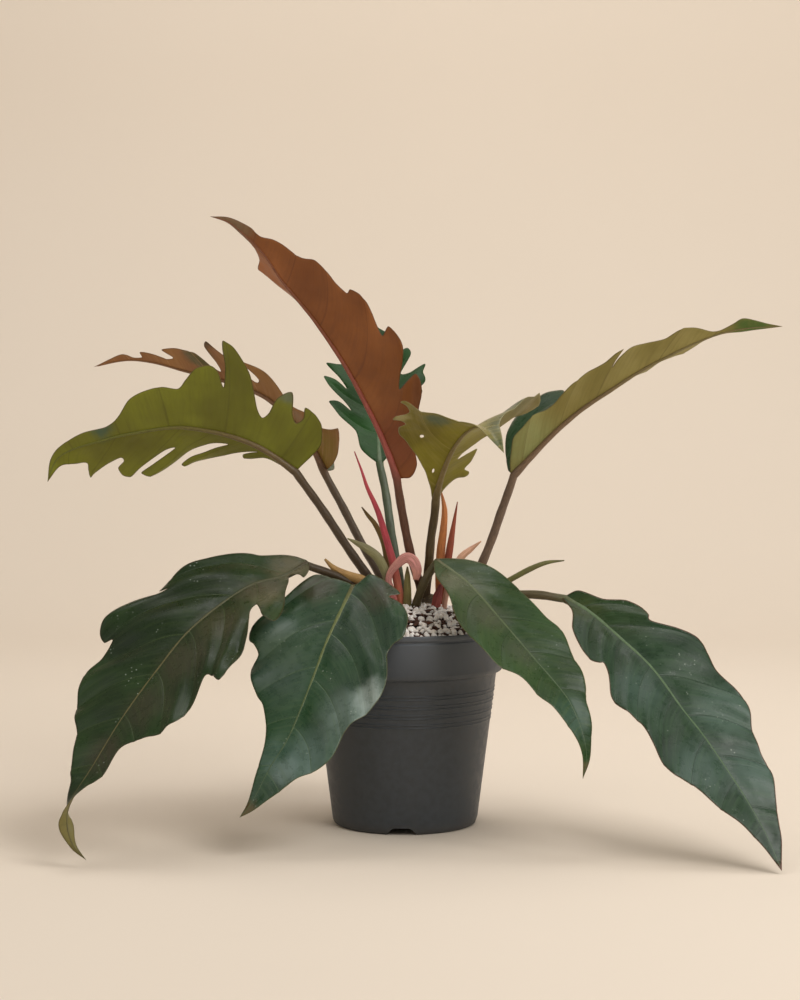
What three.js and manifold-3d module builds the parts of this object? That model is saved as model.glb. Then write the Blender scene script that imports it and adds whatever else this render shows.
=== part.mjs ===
// A potted philodendron with ten lobed, pointed leaves on long stalks, in a tapered nursery pot.
// Millimetres, +Z up, the viewer's side is -Y, the origin in the middle of the foot of the pot.
import * as THREE from "three";
import Module from "manifold-3d";
import { mergeVertices } from "three/addons/utils/BufferGeometryUtils.js";

const wasm = await Module();
wasm.setup();

// Driving dimensions
const SEAT_GAP = 0.4;
const POT_HEIGHT = 170;
const POT_RIM_RADIUS = 86;
const POT_FOOT_RADIUS = 62.3;
const POT_WALL = 2.8;
const POT_SIDES = 40;
const POT_FLOOR = 9.5;
const POT_UNDERSIDE = 6.5;
const SHOULDER_LOW = 131;
const SHOULDER_RADIUS = 78.5;
const NOTCH_COUNT = 4;
const NOTCH_TURN = -92.7;
const NOTCH_HEIGHT = 6;
const NOTCH_FOOT_HALF = 14;
const NOTCH_TOP_HALF = 7;
const DRAIN_COUNT = 6;
const DRAIN_RADIUS = 4.5;
const DRAIN_CIRCLE_RADIUS = 34;
const SOIL_EDGE = 164.5;
const SOIL_MIDDLE = 187;
const SOIL_RADIUS = 82.2;
const SOIL_SIDES = 30;
const GRAIN_COUNT = 50;
const GRAIN_REACH = 76;
const CROWN_FOOT = 150;
const CROWN_TOP = 198;
const BLADE_THICK = 0.9;
const RIB_CLEARANCE = 0.6;
const STALK_SIDES = 6;
const STALK_FOOT_RADIUS = 4.6;
const STALK_TOP_RADIUS = 3.5;
const STALK_STEPS = 9;
const STALK_FADE_START = 20;
const STALK_FADE_END = 55;
const RIB_RADIUS = 2.9;
const RIB_TIP_RADIUS = 0.7;
const RIB_SHARE = 0.93;
const RIB_STEP = 19;
const SHEATH_SIDES = 8;

// How a blade's edge waves: its height grows with the square of the distance from the midrib.
const WAVE_REACH = 50;
const VEIN_SWEEP = 0.4;

// Layout of the columns that a blade half is split into
const FOOT_SLOPE = 0.5;
const FOOT_GAP = 0.4;
const FOOT_MARGIN = 0.2;
const LONGEST_COLUMN = 14;

const CROWNS = {
  crown_left: { place: [-3, 4], radius: 9 },
  crown_right: { place: [20, 1], radius: 10 },
};

const COLOURS = {
  pot: [0x3b3b3d, 0.6],
  soil: [0x2c1d16, 0.95],
  crown: [0x6b5a34, 0.6],
};

// The ten leaves, from the front to the back. Points of the stalk and rib are [x, y, z]; the stalk runs up
// from the soil to the rib, and the rib from the blade's foot to its tip. Each row of face is a distance
// along the rib and the way that the upper side looks there. Left and right are as seen from the upper
// side, looking to the tip. fold is how far a half is raised, in degrees, at even steps along the rib, wave
// is its height, length and phase, and edge is its outline as [along the rib, out from the rib].
const LEAVES = {
  low_left: {
    stalk: [
      [-6, 0, 172], [-17, -8, 193], [-43, -20, 207], [-64, -28, 218],
    ],
    rib: [
      [-83, -35, 227], [-103, -50, 217], [-132, -70, 209], [-173, -102, 180], [-200, -128, 148],
      [-226, -152, 112], [-247, -172, 77], [-262, -184, 53], [-265, -190, 37], [-260, -192, 19],
      [-250, -188, 6],
    ],
    face: [
      [0, -0.25, -0.55, 0.8], [280, -0.5, -0.7, 0.45], [302, -0.9, -0.2, 0.2], [325, -0.4, 0.9, 0.1],
    ],
    left: {
      fold: [8, 4],
      wave: [2, 60, 0],
      edge: [
        [0, 3], [8, 13], [19, 20], [18, 12], [23, 5], [34, 20], [58, 48], [86, 66], [90, 56], [82, 42],
        [77, 31], [88, 36], [114, 60], [146, 73], [170, 75], [168, 64], [169, 56], [196, 61],
        [216, 60], [230, 46], [238, 28], [248, 19], [270, 17], [288, 8], [304, 6], [328, 4], [354, 0],
      ],
    },
    right: {
      fold: [8, 4],
      wave: [2, 60, 2],
      edge: [
        [-2, 3], [10, 22], [42, 41], [74, 55], [94, 58], [109, 55], [104, 51], [113, 54], [128, 66],
        [146, 72], [160, 70], [164, 64], [160, 57], [181, 53], [202, 56], [228, 46], [246, 31],
        [276, 18], [294, 4], [308, 7], [334, 5], [354, 0],
      ],
    },
  },
  front_left: {
    stalk: [
      [-4, -2, 170], [-15, -14, 191], [-31, -32, 204],
    ],
    rib: [
      [-44, -45, 208], [-54, -64, 188], [-65, -84, 165], [-75, -102, 139], [-93, -128, 96],
      [-108, -142, 72], [-122, -153, 46], [-132, -158, 34],
    ],
    face: [
      [0, -0.15, -0.7, 0.7], [228, -0.25, -0.85, 0.45],
    ],
    left: {
      fold: [6, 3],
      wave: [2, 55, 1],
      edge: [
        [-5, 4], [-14, 10], [-12, 20], [-4, 37], [1, 44], [8, 37], [13, 50], [28, 62], [44, 64],
        [54, 58], [65, 56], [87, 64], [103, 63], [120, 55], [138, 45], [158, 43], [174, 32], [195, 18],
        [214, 7], [228, 0],
      ],
    },
    right: {
      fold: [6, 3],
      wave: [2, 55, 3],
      edge: [
        [-2, 3], [-3, 18], [0, 34], [24, 48], [50, 60], [66, 64], [76, 62], [79, 57], [86, 52],
        [100, 53], [112, 48], [124, 39], [131, 31], [148, 22], [170, 13], [196, 7], [214, 3], [228, 0],
      ],
    },
  },
  front_right: {
    stalk: [
      [6, -4, 165], [8, -14, 183], [13, -20, 201], [19, -22, 215],
    ],
    rib: [
      [27, -20, 228], [53, -55, 211], [76, -85, 187], [97, -108, 164], [125, -135, 133],
      [134, -144, 119], [141, -152, 101], [144, -156, 82], [141, -158, 65],
    ],
    face: [
      [0, 0.2, -0.6, 0.75], [257, 0.5, -0.7, 0.45],
    ],
    left: {
      fold: [10, 8],
      wave: [2, 50, 0],
      edge: [
        [0, 3], [12, 16], [36, 26], [60, 31], [88, 34], [112, 35], [130, 38], [148, 33], [170, 27],
        [186, 21], [197, 14], [216, 10], [232, 5], [257, 0],
      ],
    },
    right: {
      fold: [10, 8],
      wave: [2, 50, 2],
      edge: [
        [0, 3], [7, 8], [28, 21], [66, 34], [94, 44], [119, 45], [140, 41], [167, 29], [184, 26],
        [200, 20], [214, 13], [230, 7], [246, 3], [257, 0],
      ],
    },
  },
  low_right: {
    stalk: [
      [27, -6, 160], [34, -12, 174], [59, -26, 191], [88, -36, 199], [113, -42, 201],
    ],
    rib: [
      [134, -45, 199], [155, -62, 187], [178, -85, 168], [201, -108, 147], [223, -132, 117],
      [238, -148, 98], [253, -164, 76], [267, -180, 54], [281, -198, 28], [291, -212, 3],
    ],
    face: [
      [0, 0.15, -0.7, 0.7], [306, 0.25, -0.85, 0.45],
    ],
    left: {
      fold: [6, 4],
      wave: [2, 62, 0],
      edge: [
        [0, 3], [5, 12], [25, 18], [38, 31], [52, 37], [61, 35], [67, 32], [88, 43], [104, 50],
        [117, 48], [132, 45], [156, 48], [174, 48], [192, 39], [213, 32], [232, 31], [247, 24],
        [270, 14], [285, 9], [309, 0],
      ],
    },
    right: {
      fold: [6, 4],
      wave: [2, 62, 2],
      edge: [
        [0, 3], [17, 11], [36, 28], [60, 38], [74, 40], [81, 37], [83, 34], [94, 38], [117, 50],
        [134, 50], [150, 42], [168, 44], [188, 48], [204, 46], [216, 35], [233, 30], [251, 22],
        [266, 14], [285, 7], [309, 0],
      ],
    },
  },
  left: {
    stalk: [
      [-13, 0, 172], [-17, 2, 188], [-30, 3, 209], [-49, 5, 236], [-72, 6, 271],
    ],
    rib: [
      [-93, 5, 302], [-120, 0, 321], [-146, 0, 332], [-173, 2, 338], [-199, 5, 340], [-238, 10, 334],
      [-262, 13, 328], [-288, 17, 320], [-302, 20, 310], [-309, 20, 292],
    ],
    face: [
      [0, 0.05, 0.85, 0.5], [245, 0.1, 0.8, 0.6],
    ],
    left: {
      fold: [10, 8],
      wave: [2, 45, 0],
      edge: [
        [0, 3], [-3, 30], [7, 46], [18, 52], [26, 51], [23, 42], [25, 35], [30, 40], [36, 56],
        [42, 46], [43, 31], [46, 25], [52, 33], [62, 60], [72, 77], [80, 84], [78, 62], [77, 42],
        [82, 54], [88, 59], [98, 56], [104, 44], [109, 35], [120, 38], [134, 36], [147, 30], [160, 17],
        [172, 11], [194, 11], [216, 7], [232, 3], [245, 0],
      ],
    },
    right: {
      fold: [10, 8],
      wave: [0, 45, 0],
      edge: [
        [0, 3], [14, 5], [28, 8], [40, 17], [48, 20], [50, 17], [44, 11.5], [38, 6.5], [54, 17],
        [70, 28], [92, 39], [110, 47], [118, 46], [105, 37.5], [91, 29], [78, 19.5], [66, 11],
        [82, 16], [100, 27], [120, 40], [138, 50], [152, 54], [160, 50], [148, 43], [134, 35],
        [120, 26], [130, 27], [144, 34], [158, 42], [170, 49], [178, 46], [179, 37], [171, 31],
        [172, 26], [184, 28], [198, 33], [210, 36], [206, 28], [203, 21], [214, 16], [228, 6],
        [245, 0],
      ],
    },
  },
  back_left: {
    stalk: [
      [-6, 8, 172], [-10, 10, 191], [-22, 16, 213], [-36, 25, 236], [-51, 34, 264],
    ],
    rib: [
      [-69, 45, 301], [-82, 58, 324], [-101, 72, 346], [-123, 86, 364], [-149, 100, 375],
      [-176, 114, 382], [-201, 127, 388], [-229, 141, 395], [-256, 153, 397], [-287, 165, 391],
    ],
    face: [
      [0, 0.3, 0.6, 0.75], [281, 0.2, 0.7, 0.7],
    ],
    left: {
      fold: [12, 10],
      wave: [2, 45, 0],
      edge: [
        [-2, 12], [0, 27], [8, 44], [14, 44], [21, 31], [29, 24], [41, 22], [51, 18], [62, 14],
        [75, 15], [95, 25], [113, 27], [126, 29], [115, 23], [103, 15], [106, 11], [122, 20],
        [141, 32], [154, 38], [158, 31], [147, 18], [143, 9], [153, 13], [169, 24], [184, 23],
        [206, 17], [195, 11], [202, 8], [216, 9], [230, 9], [229, 4], [238, 3], [247, 7], [262, 4],
        [281, 0],
      ],
    },
    right: {
      fold: [42, 42],
      wave: [2, 45, 2],
      edge: [
        [0, 3], [6, 18], [24, 30], [46, 34], [62, 28], [62, 18], [78, 24], [100, 32], [114, 24],
        [112, 14], [128, 20], [148, 24], [156, 14], [172, 10], [200, 8], [224, 7], [250, 4], [281, 0],
      ],
    },
  },
  tall: {
    stalk: [
      [16, 2, 172], [14, 0, 199], [10, -3, 214], [4, -6, 235], [-2, -10, 266],
    ],
    rib: [
      [-6, -15, 297], [-13, -20, 317], [-25, -28, 345], [-49, -38, 391], [-73, -46, 427],
      [-88, -51, 446], [-102, -55, 463], [-114, -59, 481], [-124, -62, 493], [-134, -65, 502],
      [-146, -68, 511], [-160, -71, 515],
    ],
    face: [
      [0, 0.4, 0.85, 0.3], [279, 0.45, 0.75, 0.5],
    ],
    left: {
      fold: [8, 8],
      wave: [2, 50, 0],
      edge: [
        [-1, 5], [-2, 10], [1, 15], [8, 20], [16, 22], [28, 25], [40, 32], [52, 42], [61, 50],
        [70, 54], [78, 51], [76, 43], [72, 33], [82, 39], [92, 48], [103, 56], [112, 58], [120, 52],
        [116, 43], [126, 44], [136, 47], [146, 50], [154, 50], [160, 44], [159, 39], [170, 37],
        [184, 38], [197, 36], [206, 28], [216, 22], [229, 15], [237, 9], [247, 9], [258, 6], [279, 0],
      ],
    },
    right: {
      fold: [60, 60, 58, 30, 20],
      wave: [2, 50, 2],
      edge: [
        [-1, 4], [2, 12], [12, 20], [28, 24], [46, 20], [54, 15], [64, 20], [82, 24], [98, 20],
        [106, 15], [118, 20], [132, 22], [144, 17], [160, 17], [176, 18], [190, 22], [207, 28],
        [213, 32], [221, 17], [232, 7], [246, 5], [279, 0],
      ],
    },
  },
  back: {
    stalk: [
      [-2, 8, 172], [-4, 12, 204], [-9, 20, 231], [-13, 28, 256], [-17, 38, 284],
    ],
    rib: [
      [-22, 45, 308], [-24, 78, 335], [-27, 112, 366], [-32, 145, 396], [-39, 172, 423],
      [-46, 190, 438], [-54, 208, 452],
    ],
    face: [
      [0, 0, -0.75, 0.65], [208, 0, -0.75, 0.65],
    ],
    left: {
      fold: [6, 6],
      wave: [2, 40, 0],
      edge: [
        [0, 3], [16, 16], [41, 20], [60, 34], [80, 42], [78, 33], [66, 23], [80, 29], [100, 41],
        [114, 44], [108, 34], [96, 25], [112, 31], [124, 37], [132, 40], [130, 30], [132, 22],
        [150, 30], [164, 22], [182, 12], [208, 0],
      ],
    },
    right: {
      fold: [6, 6],
      wave: [2, 40, 2],
      edge: [
        [0, 3], [26, 20], [50, 30], [86, 43], [80, 32], [76, 26], [94, 46], [108, 46], [118, 49],
        [110, 34], [112, 26], [132, 38], [140, 36], [136, 24], [150, 30], [162, 22], [176, 14],
        [208, 0],
      ],
    },
  },
  forward: {
    stalk: [
      [16, 2, 172], [17, 0, 192], [20, -5, 218], [22, -10, 244], [25, -15, 266],
    ],
    rib: [
      [26, -20, 281], [30, -35, 298], [36, -55, 316], [43, -76, 330], [50, -95, 339], [58, -113, 344],
      [65, -130, 342], [72, -143, 334], [78, -152, 324],
    ],
    face: [
      [0, 0, 0.7, 0.7], [100, 0.05, 0.1, 1], [170, 0.2, -0.6, 0.75],
    ],
    left: {
      fold: [15, 30],
      wave: [2, 45, 0],
      edge: [
        [0, 3], [10, 6], [20, 14], [22, 24], [27, 25], [31, 20], [39, 24], [50, 26], [55, 25],
        [51, 17], [46, 10], [56, 13], [64, 20], [74, 30], [82, 46], [88, 60], [96, 68], [110, 70],
        [118, 62], [120, 50], [122, 36], [128, 22], [140, 11], [156, 5], [170, 0],
      ],
    },
    right: {
      fold: [15, 10],
      wave: [2, 45, 2],
      edge: [
        [-2, 3], [8, 6], [17, 10], [25, 14], [32, 19], [40, 25], [47, 32], [54, 39], [60, 46],
        [70, 49], [78, 46], [84, 52], [87, 60], [92, 60], [93, 52], [98, 50], [104, 55], [110, 64],
        [116, 62], [118, 44], [124, 30], [128, 16], [140, 9], [156, 5], [170, 0],
      ],
    },
  },
  right: {
    stalk: [
      [37, 2, 168], [47, -2, 192], [62, -6, 216], [74, -10, 245], [82, -14, 270], [87, -17, 287],
    ],
    rib: [
      [91, -20, 301], [106, -26, 317], [126, -33, 338], [148, -40, 357], [173, -48, 374],
      [194, -54, 388], [214, -59, 399], [238, -64, 411], [262, -68, 420], [285, -71, 424],
      [310, -73, 425],
    ],
    face: [
      [0, -0.35, 0.6, 0.7], [265, -0.3, 0.6, 0.75],
    ],
    left: {
      fold: [75, -15],
      wave: [2, 50, 0],
      edge: [
        [-2, 7], [0, 18], [3, 30], [8, 43], [14, 56], [20, 68], [25, 70], [31, 58], [35, 58], [42, 66],
        [54, 78], [64, 83], [66, 76], [58, 60], [62, 50], [74, 46], [88, 42], [104, 36], [120, 30],
        [136, 24], [150, 17], [160, 11], [170, 10], [180, 11], [190, 8], [199, 3], [216, 2], [230, 4],
        [244, 3], [265, 0],
      ],
    },
    right: {
      fold: [8, 5],
      wave: [2, 50, 2],
      edge: [
        [0, 3], [8, 11], [16, 18], [28, 28], [40, 30], [52, 31], [61, 24], [70, 24], [80, 28],
        [92, 32], [104, 32], [114, 30], [124, 31], [135, 35], [142, 35], [132, 28], [126, 23],
        [135, 28], [146, 30], [156, 25], [166, 22], [174, 21], [187, 24], [194, 19], [202, 11],
        [209, 5], [216, 4], [226, 8], [233, 12], [242, 8], [252, 4], [265, 0],
      ],
    },
  },
};

const LEAF_LOOKS = {
  low_left: [0x31472b, 0x4a3b24],
  front_left: [0x3b5a36, 0x5a4a28],
  front_right: [0x4c6a42, 0x5c5230],
  low_right: [0x3e5f3c, 0x5a5032],
  left: [0x5f7030, 0x54412a],
  back_left: [0x77503a, 0x5f5040],
  tall: [0x7a4a2a, 0x7a3c40],
  back: [0x355340, 0x55644a],
  forward: [0x70712f, 0x6b5a38],
  right: [0x7c784a, 0x685442],
};

// The stalks are cut clear of each other in this order, the nearest to the viewer first.
const STALK_ORDER = [
  "front_left",
  "front_right",
  "low_left",
  "low_right",
  "forward",
  "tall",
  "left",
  "right",
  "back_left",
  "back",
];

// Young growths and dry sheaths at the crown: the path from the tip down, half widths, half thickness.
const SHEATHS = {
  new_leaf: {
    path: [
      [-43, -16, 320], [-37, -15, 304], [-32, -14, 289], [-26, -13, 276], [-21, -12, 263], [-14, -11, 239],
      [-9, -11, 220], [-4, -11, 194], [-3, -11, 180],
    ],
    wide: [0.5, 1.4, 2.2, 2.9, 3.2, 3.6, 3.8, 3.8, 3.4],
    thick: 2.6,
    colour: 0xbe4650,
  },
  sheath_curl: {
    path: [
      [9, -22, 211], [10, -22, 219], [7, -22, 227], [1, -22, 230], [-6, -21, 225], [-12, -20, 218],
      [-14, -19, 210], [-11, -18, 200], [-9, -17, 188], [-8, -16, 180],
    ],
    wide: [0.6, 1.8, 2.4, 2.6, 2.6, 2.4, 2.2, 2.2, 2.2, 2.2],
    thick: 0.7,
    colour: 0xd7877d,
  },
  sheath_green: {
    path: [[2, -16, 222], [2, -16, 214], [2, -16, 201], [2, -15, 187], [2, -14, 180]],
    wide: [0.6, 2.4, 3.4, 3.6, 3.2],
    thick: 0.9,
    colour: 0x8c8250,
  },
  sheath_olive: {
    path: [
      [-49, -16, 246], [-41, -17, 242], [-32, -17, 237], [-22, -17, 228], [-15, -16, 211], [-13, -14, 191],
      [-12, -12, 181],
    ],
    wide: [0.5, 2.2, 3.6, 4.2, 3.6, 2.6, 2.4],
    thick: 0.7,
    colour: 0x9b9650,
  },
  sheath_tan: {
    path: [
      [-68, -24, 229], [-60, -24, 221], [-48, -25, 215], [-37, -25, 211], [-24, -23, 203], [-17, -20, 190],
      [-15, -18, 179],
    ],
    wide: [0.5, 1.4, 2, 2.4, 2.6, 2.4, 2.2],
    thick: 0.7,
    colour: 0xbe965f,
  },
  sheath_pink: {
    path: [[31, -15, 207], [28, -14, 197], [26, -13, 186], [25, -12, 179]],
    wide: [1.5, 3.8, 4, 3.4],
    thick: 1.2,
    colour: 0xb45a5a,
  },
  sheath_pale: {
    path: [[65, -8, 243], [56, -8, 236], [48, -8, 229], [40, -8, 214], [35, -7, 196], [33, -6, 181]],
    wide: [0.5, 2.4, 3.2, 3, 2.4, 2.2],
    thick: 0.8,
    colour: 0xe1a08c,
  },
  sheath_thin: {
    path: [
      [134, -38, 229], [119, -36, 227], [105, -32, 221], [86, -26, 210], [68, -19, 200], [51, -10, 189],
      [44, -6, 180],
    ],
    wide: [0.5, 1.8, 2.4, 2.4, 2.2, 2, 2],
    thick: 0.8,
    colour: 0x787846,
  },
  sheath_orange: {
    path: [
      [31, 9, 285], [34, 9, 269], [33, 9, 251], [31, 9, 234], [30, 8, 213], [30, 8, 192], [30, 8, 179],
    ],
    wide: [0.6, 2.4, 3.2, 3.8, 4, 3.6, 3.4],
    thick: 1,
    colour: 0xc8783c,
  },
  sheath_red: {
    path: [[45, 4, 276], [42, 4, 258], [39, 4, 239], [36, 4, 218], [34, 4, 194], [33, 4, 180]],
    wide: [0.4, 1.3, 2.2, 2.6, 2.6, 2.4],
    thick: 0.9,
    colour: 0x96372d,
  },
  sheath_brown: {
    path: [
      [-37, -4, 272], [-32, -3, 265], [-25, -2, 256], [-18, -1, 240], [-15, -1, 220], [-14, -2, 200],
      [-14, -4, 181],
    ],
    wide: [0.5, 1.6, 2.2, 2.6, 2.6, 2.4, 2.2],
    thick: 0.8,
    colour: 0x6e4628,
  },
};

const vector = (p) => new THREE.Vector3(...p);
const smoothCurve = (points) => new THREE.CatmullRomCurve3(points, false, "catmullrom", 0.5);

// Reads a value from rows of [x, value], in straight steps between them.
function readRows(rows, x, mix) {
  const last = rows.length - 1;
  if (x <= rows[0][0]) return rows[0][1];
  if (x >= rows[last][0]) return rows[last][1];
  const k = rows.findIndex((row) => row[0] > x) - 1;
  const [from, low] = rows[k];
  const [to, high] = rows[k + 1];
  return mix(low, high, (x - from) / (to - from));
}

function solidOf(points, triangles) {
  const vertProperties = new Float32Array(points.flatMap((p) => [p.x, p.y, p.z]));
  const triVerts = new Uint32Array(triangles.flat());
  return new wasm.Manifold(new wasm.Mesh({ numProp: 3, vertProperties, triVerts }));
}

function solidOfGeometry(geometry) {
  const bare = new THREE.BufferGeometry();
  bare.setAttribute("position", geometry.getAttribute("position"));
  if (geometry.index) bare.setIndex(geometry.index);
  const merged = mergeVertices(bare, 1e-3);
  const vertProperties = new Float32Array(merged.attributes.position.array);
  const triVerts = new Uint32Array(merged.index.array);
  return new wasm.Manifold(new wasm.Mesh({ numProp: 3, vertProperties, triVerts }));
}

function meshOf(name, solid, colour, roughness) {
  const { vertProperties, triVerts } = solid.getMesh();
  const geometry = new THREE.BufferGeometry();
  geometry.setAttribute("position", new THREE.BufferAttribute(vertProperties, 3));
  geometry.setIndex(new THREE.BufferAttribute(triVerts, 1));
  geometry.computeVertexNormals();
  const material = new THREE.MeshStandardMaterial({ color: colour, roughness, metalness: 0 });
  const mesh = new THREE.Mesh(geometry, material);
  mesh.name = name;
  return mesh;
}

// Takes the cutters away from a solid and keeps the largest body that is left.
function cutBy(solid, cutters) {
  let left = solid;
  for (const cutter of cutters) left = left.subtract(cutter);
  const bodies = left.decompose();
  bodies.sort((a, b) => b.volume() - a.volume());
  return bodies[0];
}

// Turns a profile of [radius, height] points, from axis to axis, round the Z axis.
function turned(profile, sides, place = [0, 0]) {
  const points = profile.map(([radius, height]) => new THREE.Vector2(radius, height));
  const geometry = new THREE.LatheGeometry(points, sides);
  geometry.rotateX(Math.PI / 2);
  geometry.translate(place[0], place[1], 0);
  return solidOfGeometry(geometry);
}

// Pot

const wallRadius = (height) =>
  POT_FOOT_RADIUS + ((SHOULDER_RADIUS - POT_FOOT_RADIUS) * (height - 4)) / (SHOULDER_LOW - 4);

function potProfile() {
  const rimInside = POT_RIM_RADIUS - 3;
  return [
    [0, POT_UNDERSIDE],
    [52, POT_UNDERSIDE],
    [54.5, 0],
    [59, 0],
    [61.3, 1.2],
    [POT_FOOT_RADIUS, 4],
    [SHOULDER_RADIUS, SHOULDER_LOW],
    [83, 133],
    [84, 136],
    [85.4, 163],
    [84.3, 164],
    [84.3, 165],
    [POT_RIM_RADIUS, 166],
    [POT_RIM_RADIUS, POT_HEIGHT - 0.8],
    [POT_RIM_RADIUS - 0.8, POT_HEIGHT],
    [rimInside + 0.8, POT_HEIGHT],
    [rimInside, POT_HEIGHT - 1],
    [rimInside - 0.3, 160],
    [81, 136],
    [SHOULDER_RADIUS - POT_WALL, SHOULDER_LOW],
    [wallRadius(POT_FLOOR + 3) - POT_WALL, POT_FLOOR + 3],
    [57.5, POT_FLOOR],
    [0, POT_FLOOR],
  ];
}

function notchCutter() {
  const outline = new THREE.Shape([
    new THREE.Vector2(-NOTCH_FOOT_HALF, -1),
    new THREE.Vector2(NOTCH_FOOT_HALF, -1),
    new THREE.Vector2(NOTCH_TOP_HALF, NOTCH_HEIGHT),
    new THREE.Vector2(-NOTCH_TOP_HALF, NOTCH_HEIGHT),
  ]);
  const geometry = new THREE.ExtrudeGeometry(outline, { depth: 20, bevelEnabled: false });
  geometry.rotateX(Math.PI / 2);
  geometry.translate(0, POT_FOOT_RADIUS + 8, 0);
  return geometry;
}

function pot() {
  let solid = turned(potProfile(), POT_SIDES);
  for (let k = 0; k < NOTCH_COUNT; k++) {
    const notch = notchCutter();
    notch.rotateZ(THREE.MathUtils.degToRad(NOTCH_TURN - 90 + (360 / NOTCH_COUNT) * k));
    solid = solid.subtract(solidOfGeometry(notch));
  }
  const drains = [[0, 0]];
  for (let k = 0; k < DRAIN_COUNT; k++) {
    const turn = (2 * Math.PI * k) / DRAIN_COUNT;
    drains.push([DRAIN_CIRCLE_RADIUS * Math.cos(turn), DRAIN_CIRCLE_RADIUS * Math.sin(turn)]);
  }
  for (const [x, y] of drains) {
    const hole = new THREE.CylinderGeometry(DRAIN_RADIUS, DRAIN_RADIUS, 12, 12);
    hole.rotateX(Math.PI / 2);
    hole.translate(x, y, POT_FLOOR - 2);
    solid = solid.subtract(solidOfGeometry(hole));
  }
  return solid;
}

// Soil

// A repeatable series of numbers from 0 to 1.
function seeded(seed) {
  let state = seed;
  return () => {
    state = (state * 1664525 + 1013904223) % 4294967296;
    return state / 4294967296;
  };
}

function soilTop(x, y) {
  const share = Math.min(1, Math.hypot(x, y) / SOIL_RADIUS);
  const bumps = 1.1 * Math.sin(x * 0.21 + 1.3) * Math.sin(y * 0.26) + 0.7 * Math.sin(x * 0.5 - y * 0.43);
  return SOIL_EDGE + (SOIL_MIDDLE - SOIL_EDGE) * (1 - share * share) + bumps * (1 - share ** 4);
}

function soilProfile() {
  const inside = (height) => wallRadius(height) - POT_WALL - SEAT_GAP;
  const top = [66, 50, 36, 22, 10, 0].map((radius) => [radius, SOIL_EDGE + 1]);
  return [
    [0, POT_FLOOR + SEAT_GAP],
    [56.8, POT_FLOOR + SEAT_GAP],
    [inside(POT_FLOOR + 4), POT_FLOOR + 4],
    [inside(SHOULDER_LOW) - 0.2, SHOULDER_LOW],
    [80.4, 136.4],
    [SOIL_RADIUS, SOIL_EDGE - 3],
    [SOIL_RADIUS - 2, SOIL_EDGE],
    ...top,
  ];
}

function grain(random) {
  const size = 1.9 + 1.4 * random();
  const geometry = new THREE.OctahedronGeometry(size);
  geometry.scale(1 + 0.35 * random(), 1, 0.75 + 0.25 * random());
  geometry.rotateX(random() * 3);
  geometry.rotateZ(random() * 6);
  const out = GRAIN_REACH * Math.sqrt(0.03 + 0.95 * random());
  const turn = 2 * Math.PI * random();
  const x = out * Math.cos(turn);
  const y = out * Math.sin(turn);
  geometry.translate(x, y, soilTop(x, y) + 0.1 * size);
  return solidOfGeometry(geometry);
}

function soil(standing) {
  const points = soilProfile().map(([radius, height]) => new THREE.Vector2(radius, height));
  const geometry = new THREE.LatheGeometry(points, SOIL_SIDES);
  geometry.rotateX(Math.PI / 2);
  const place = geometry.getAttribute("position");
  for (let i = 0; i < place.count; i++) {
    if (place.getZ(i) > SOIL_EDGE - 1) place.setZ(i, soilTop(place.getX(i), place.getY(i)));
  }
  let solid = solidOfGeometry(geometry);
  const random = seeded(17);
  for (let k = 0; k < GRAIN_COUNT; k++) solid = solid.add(grain(random));
  return cutBy(solid, standing);
}

// Stems

function crown({ place, radius }, grow) {
  const wide = radius + grow;
  const profile = [
    [0, CROWN_FOOT - grow],
    [wide * 0.9, CROWN_FOOT - grow],
    [wide, CROWN_FOOT + 12],
    [wide * 0.96, CROWN_TOP - 8 + grow],
    [wide * 0.6, CROWN_TOP - 2 + grow],
    [0, CROWN_TOP + grow],
  ];
  return turned(profile, 12, place);
}

// A closed tube through rings, each with a centre, the way its top looks, and two half widths.
function tube(rings, sides) {
  const points = [];
  const triangles = [];
  rings.forEach((ring, i) => {
    const before = rings[Math.max(i - 1, 0)].centre;
    const after = rings[Math.min(i + 1, rings.length - 1)].centre;
    const tangent = after.clone().sub(before).normalize();
    const up = ring.up.clone().addScaledVector(tangent, -ring.up.dot(tangent)).normalize();
    const side = new THREE.Vector3().crossVectors(tangent, up);
    for (let k = 0; k < sides; k++) {
      const turn = (2 * Math.PI * k) / sides;
      const point = ring.centre.clone().addScaledVector(up, ring.high * Math.cos(turn));
      points.push(point.addScaledVector(side, ring.wide * Math.sin(turn)));
    }
  });
  const last = (rings.length - 1) * sides;
  for (let k = 0; k < sides; k++) {
    const next = (k + 1) % sides;
    for (let i = 0; i < last; i += sides) {
      triangles.push([i + k, i + sides + k, i + sides + next], [i + k, i + sides + next, i + next]);
    }
    if (k > 0 && next > 0) {
      triangles.push([0, k, next]);
      triangles.push([last, last + next, last + k]);
    }
  }
  const solid = solidOf(points, triangles);
  if (solid.volume() > 0) return solid;
  return solidOf(points, triangles.map(([a, b, c]) => [a, c, b]));
}

// Leaves

function ribOf(leaf) {
  const curve = smoothCurve(leaf.rib.map(vector));
  curve.arcLengthDivisions = 600;
  const length = curve.getLength();
  const faces = leaf.face.map(([along, ...way]) => [along, vector(way).normalize()]);
  const placeAt = (along) => curve.getPointAt(THREE.MathUtils.clamp(along / length, 0, 1));
  function frame(along) {
    const inside = THREE.MathUtils.clamp(along, 0, length);
    const tangent = placeAt(inside + 3).sub(placeAt(inside - 3)).normalize();
    const up = readRows(faces, inside, (a, b, t) => a.clone().lerp(b, t)).clone();
    up.addScaledVector(tangent, -up.dot(tangent)).normalize();
    const centre = placeAt(inside).addScaledVector(tangent, along - inside);
    const right = new THREE.Vector3().crossVectors(tangent, up);
    return { centre, tangent, up, right };
  }
  return { length, frame };
}

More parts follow.
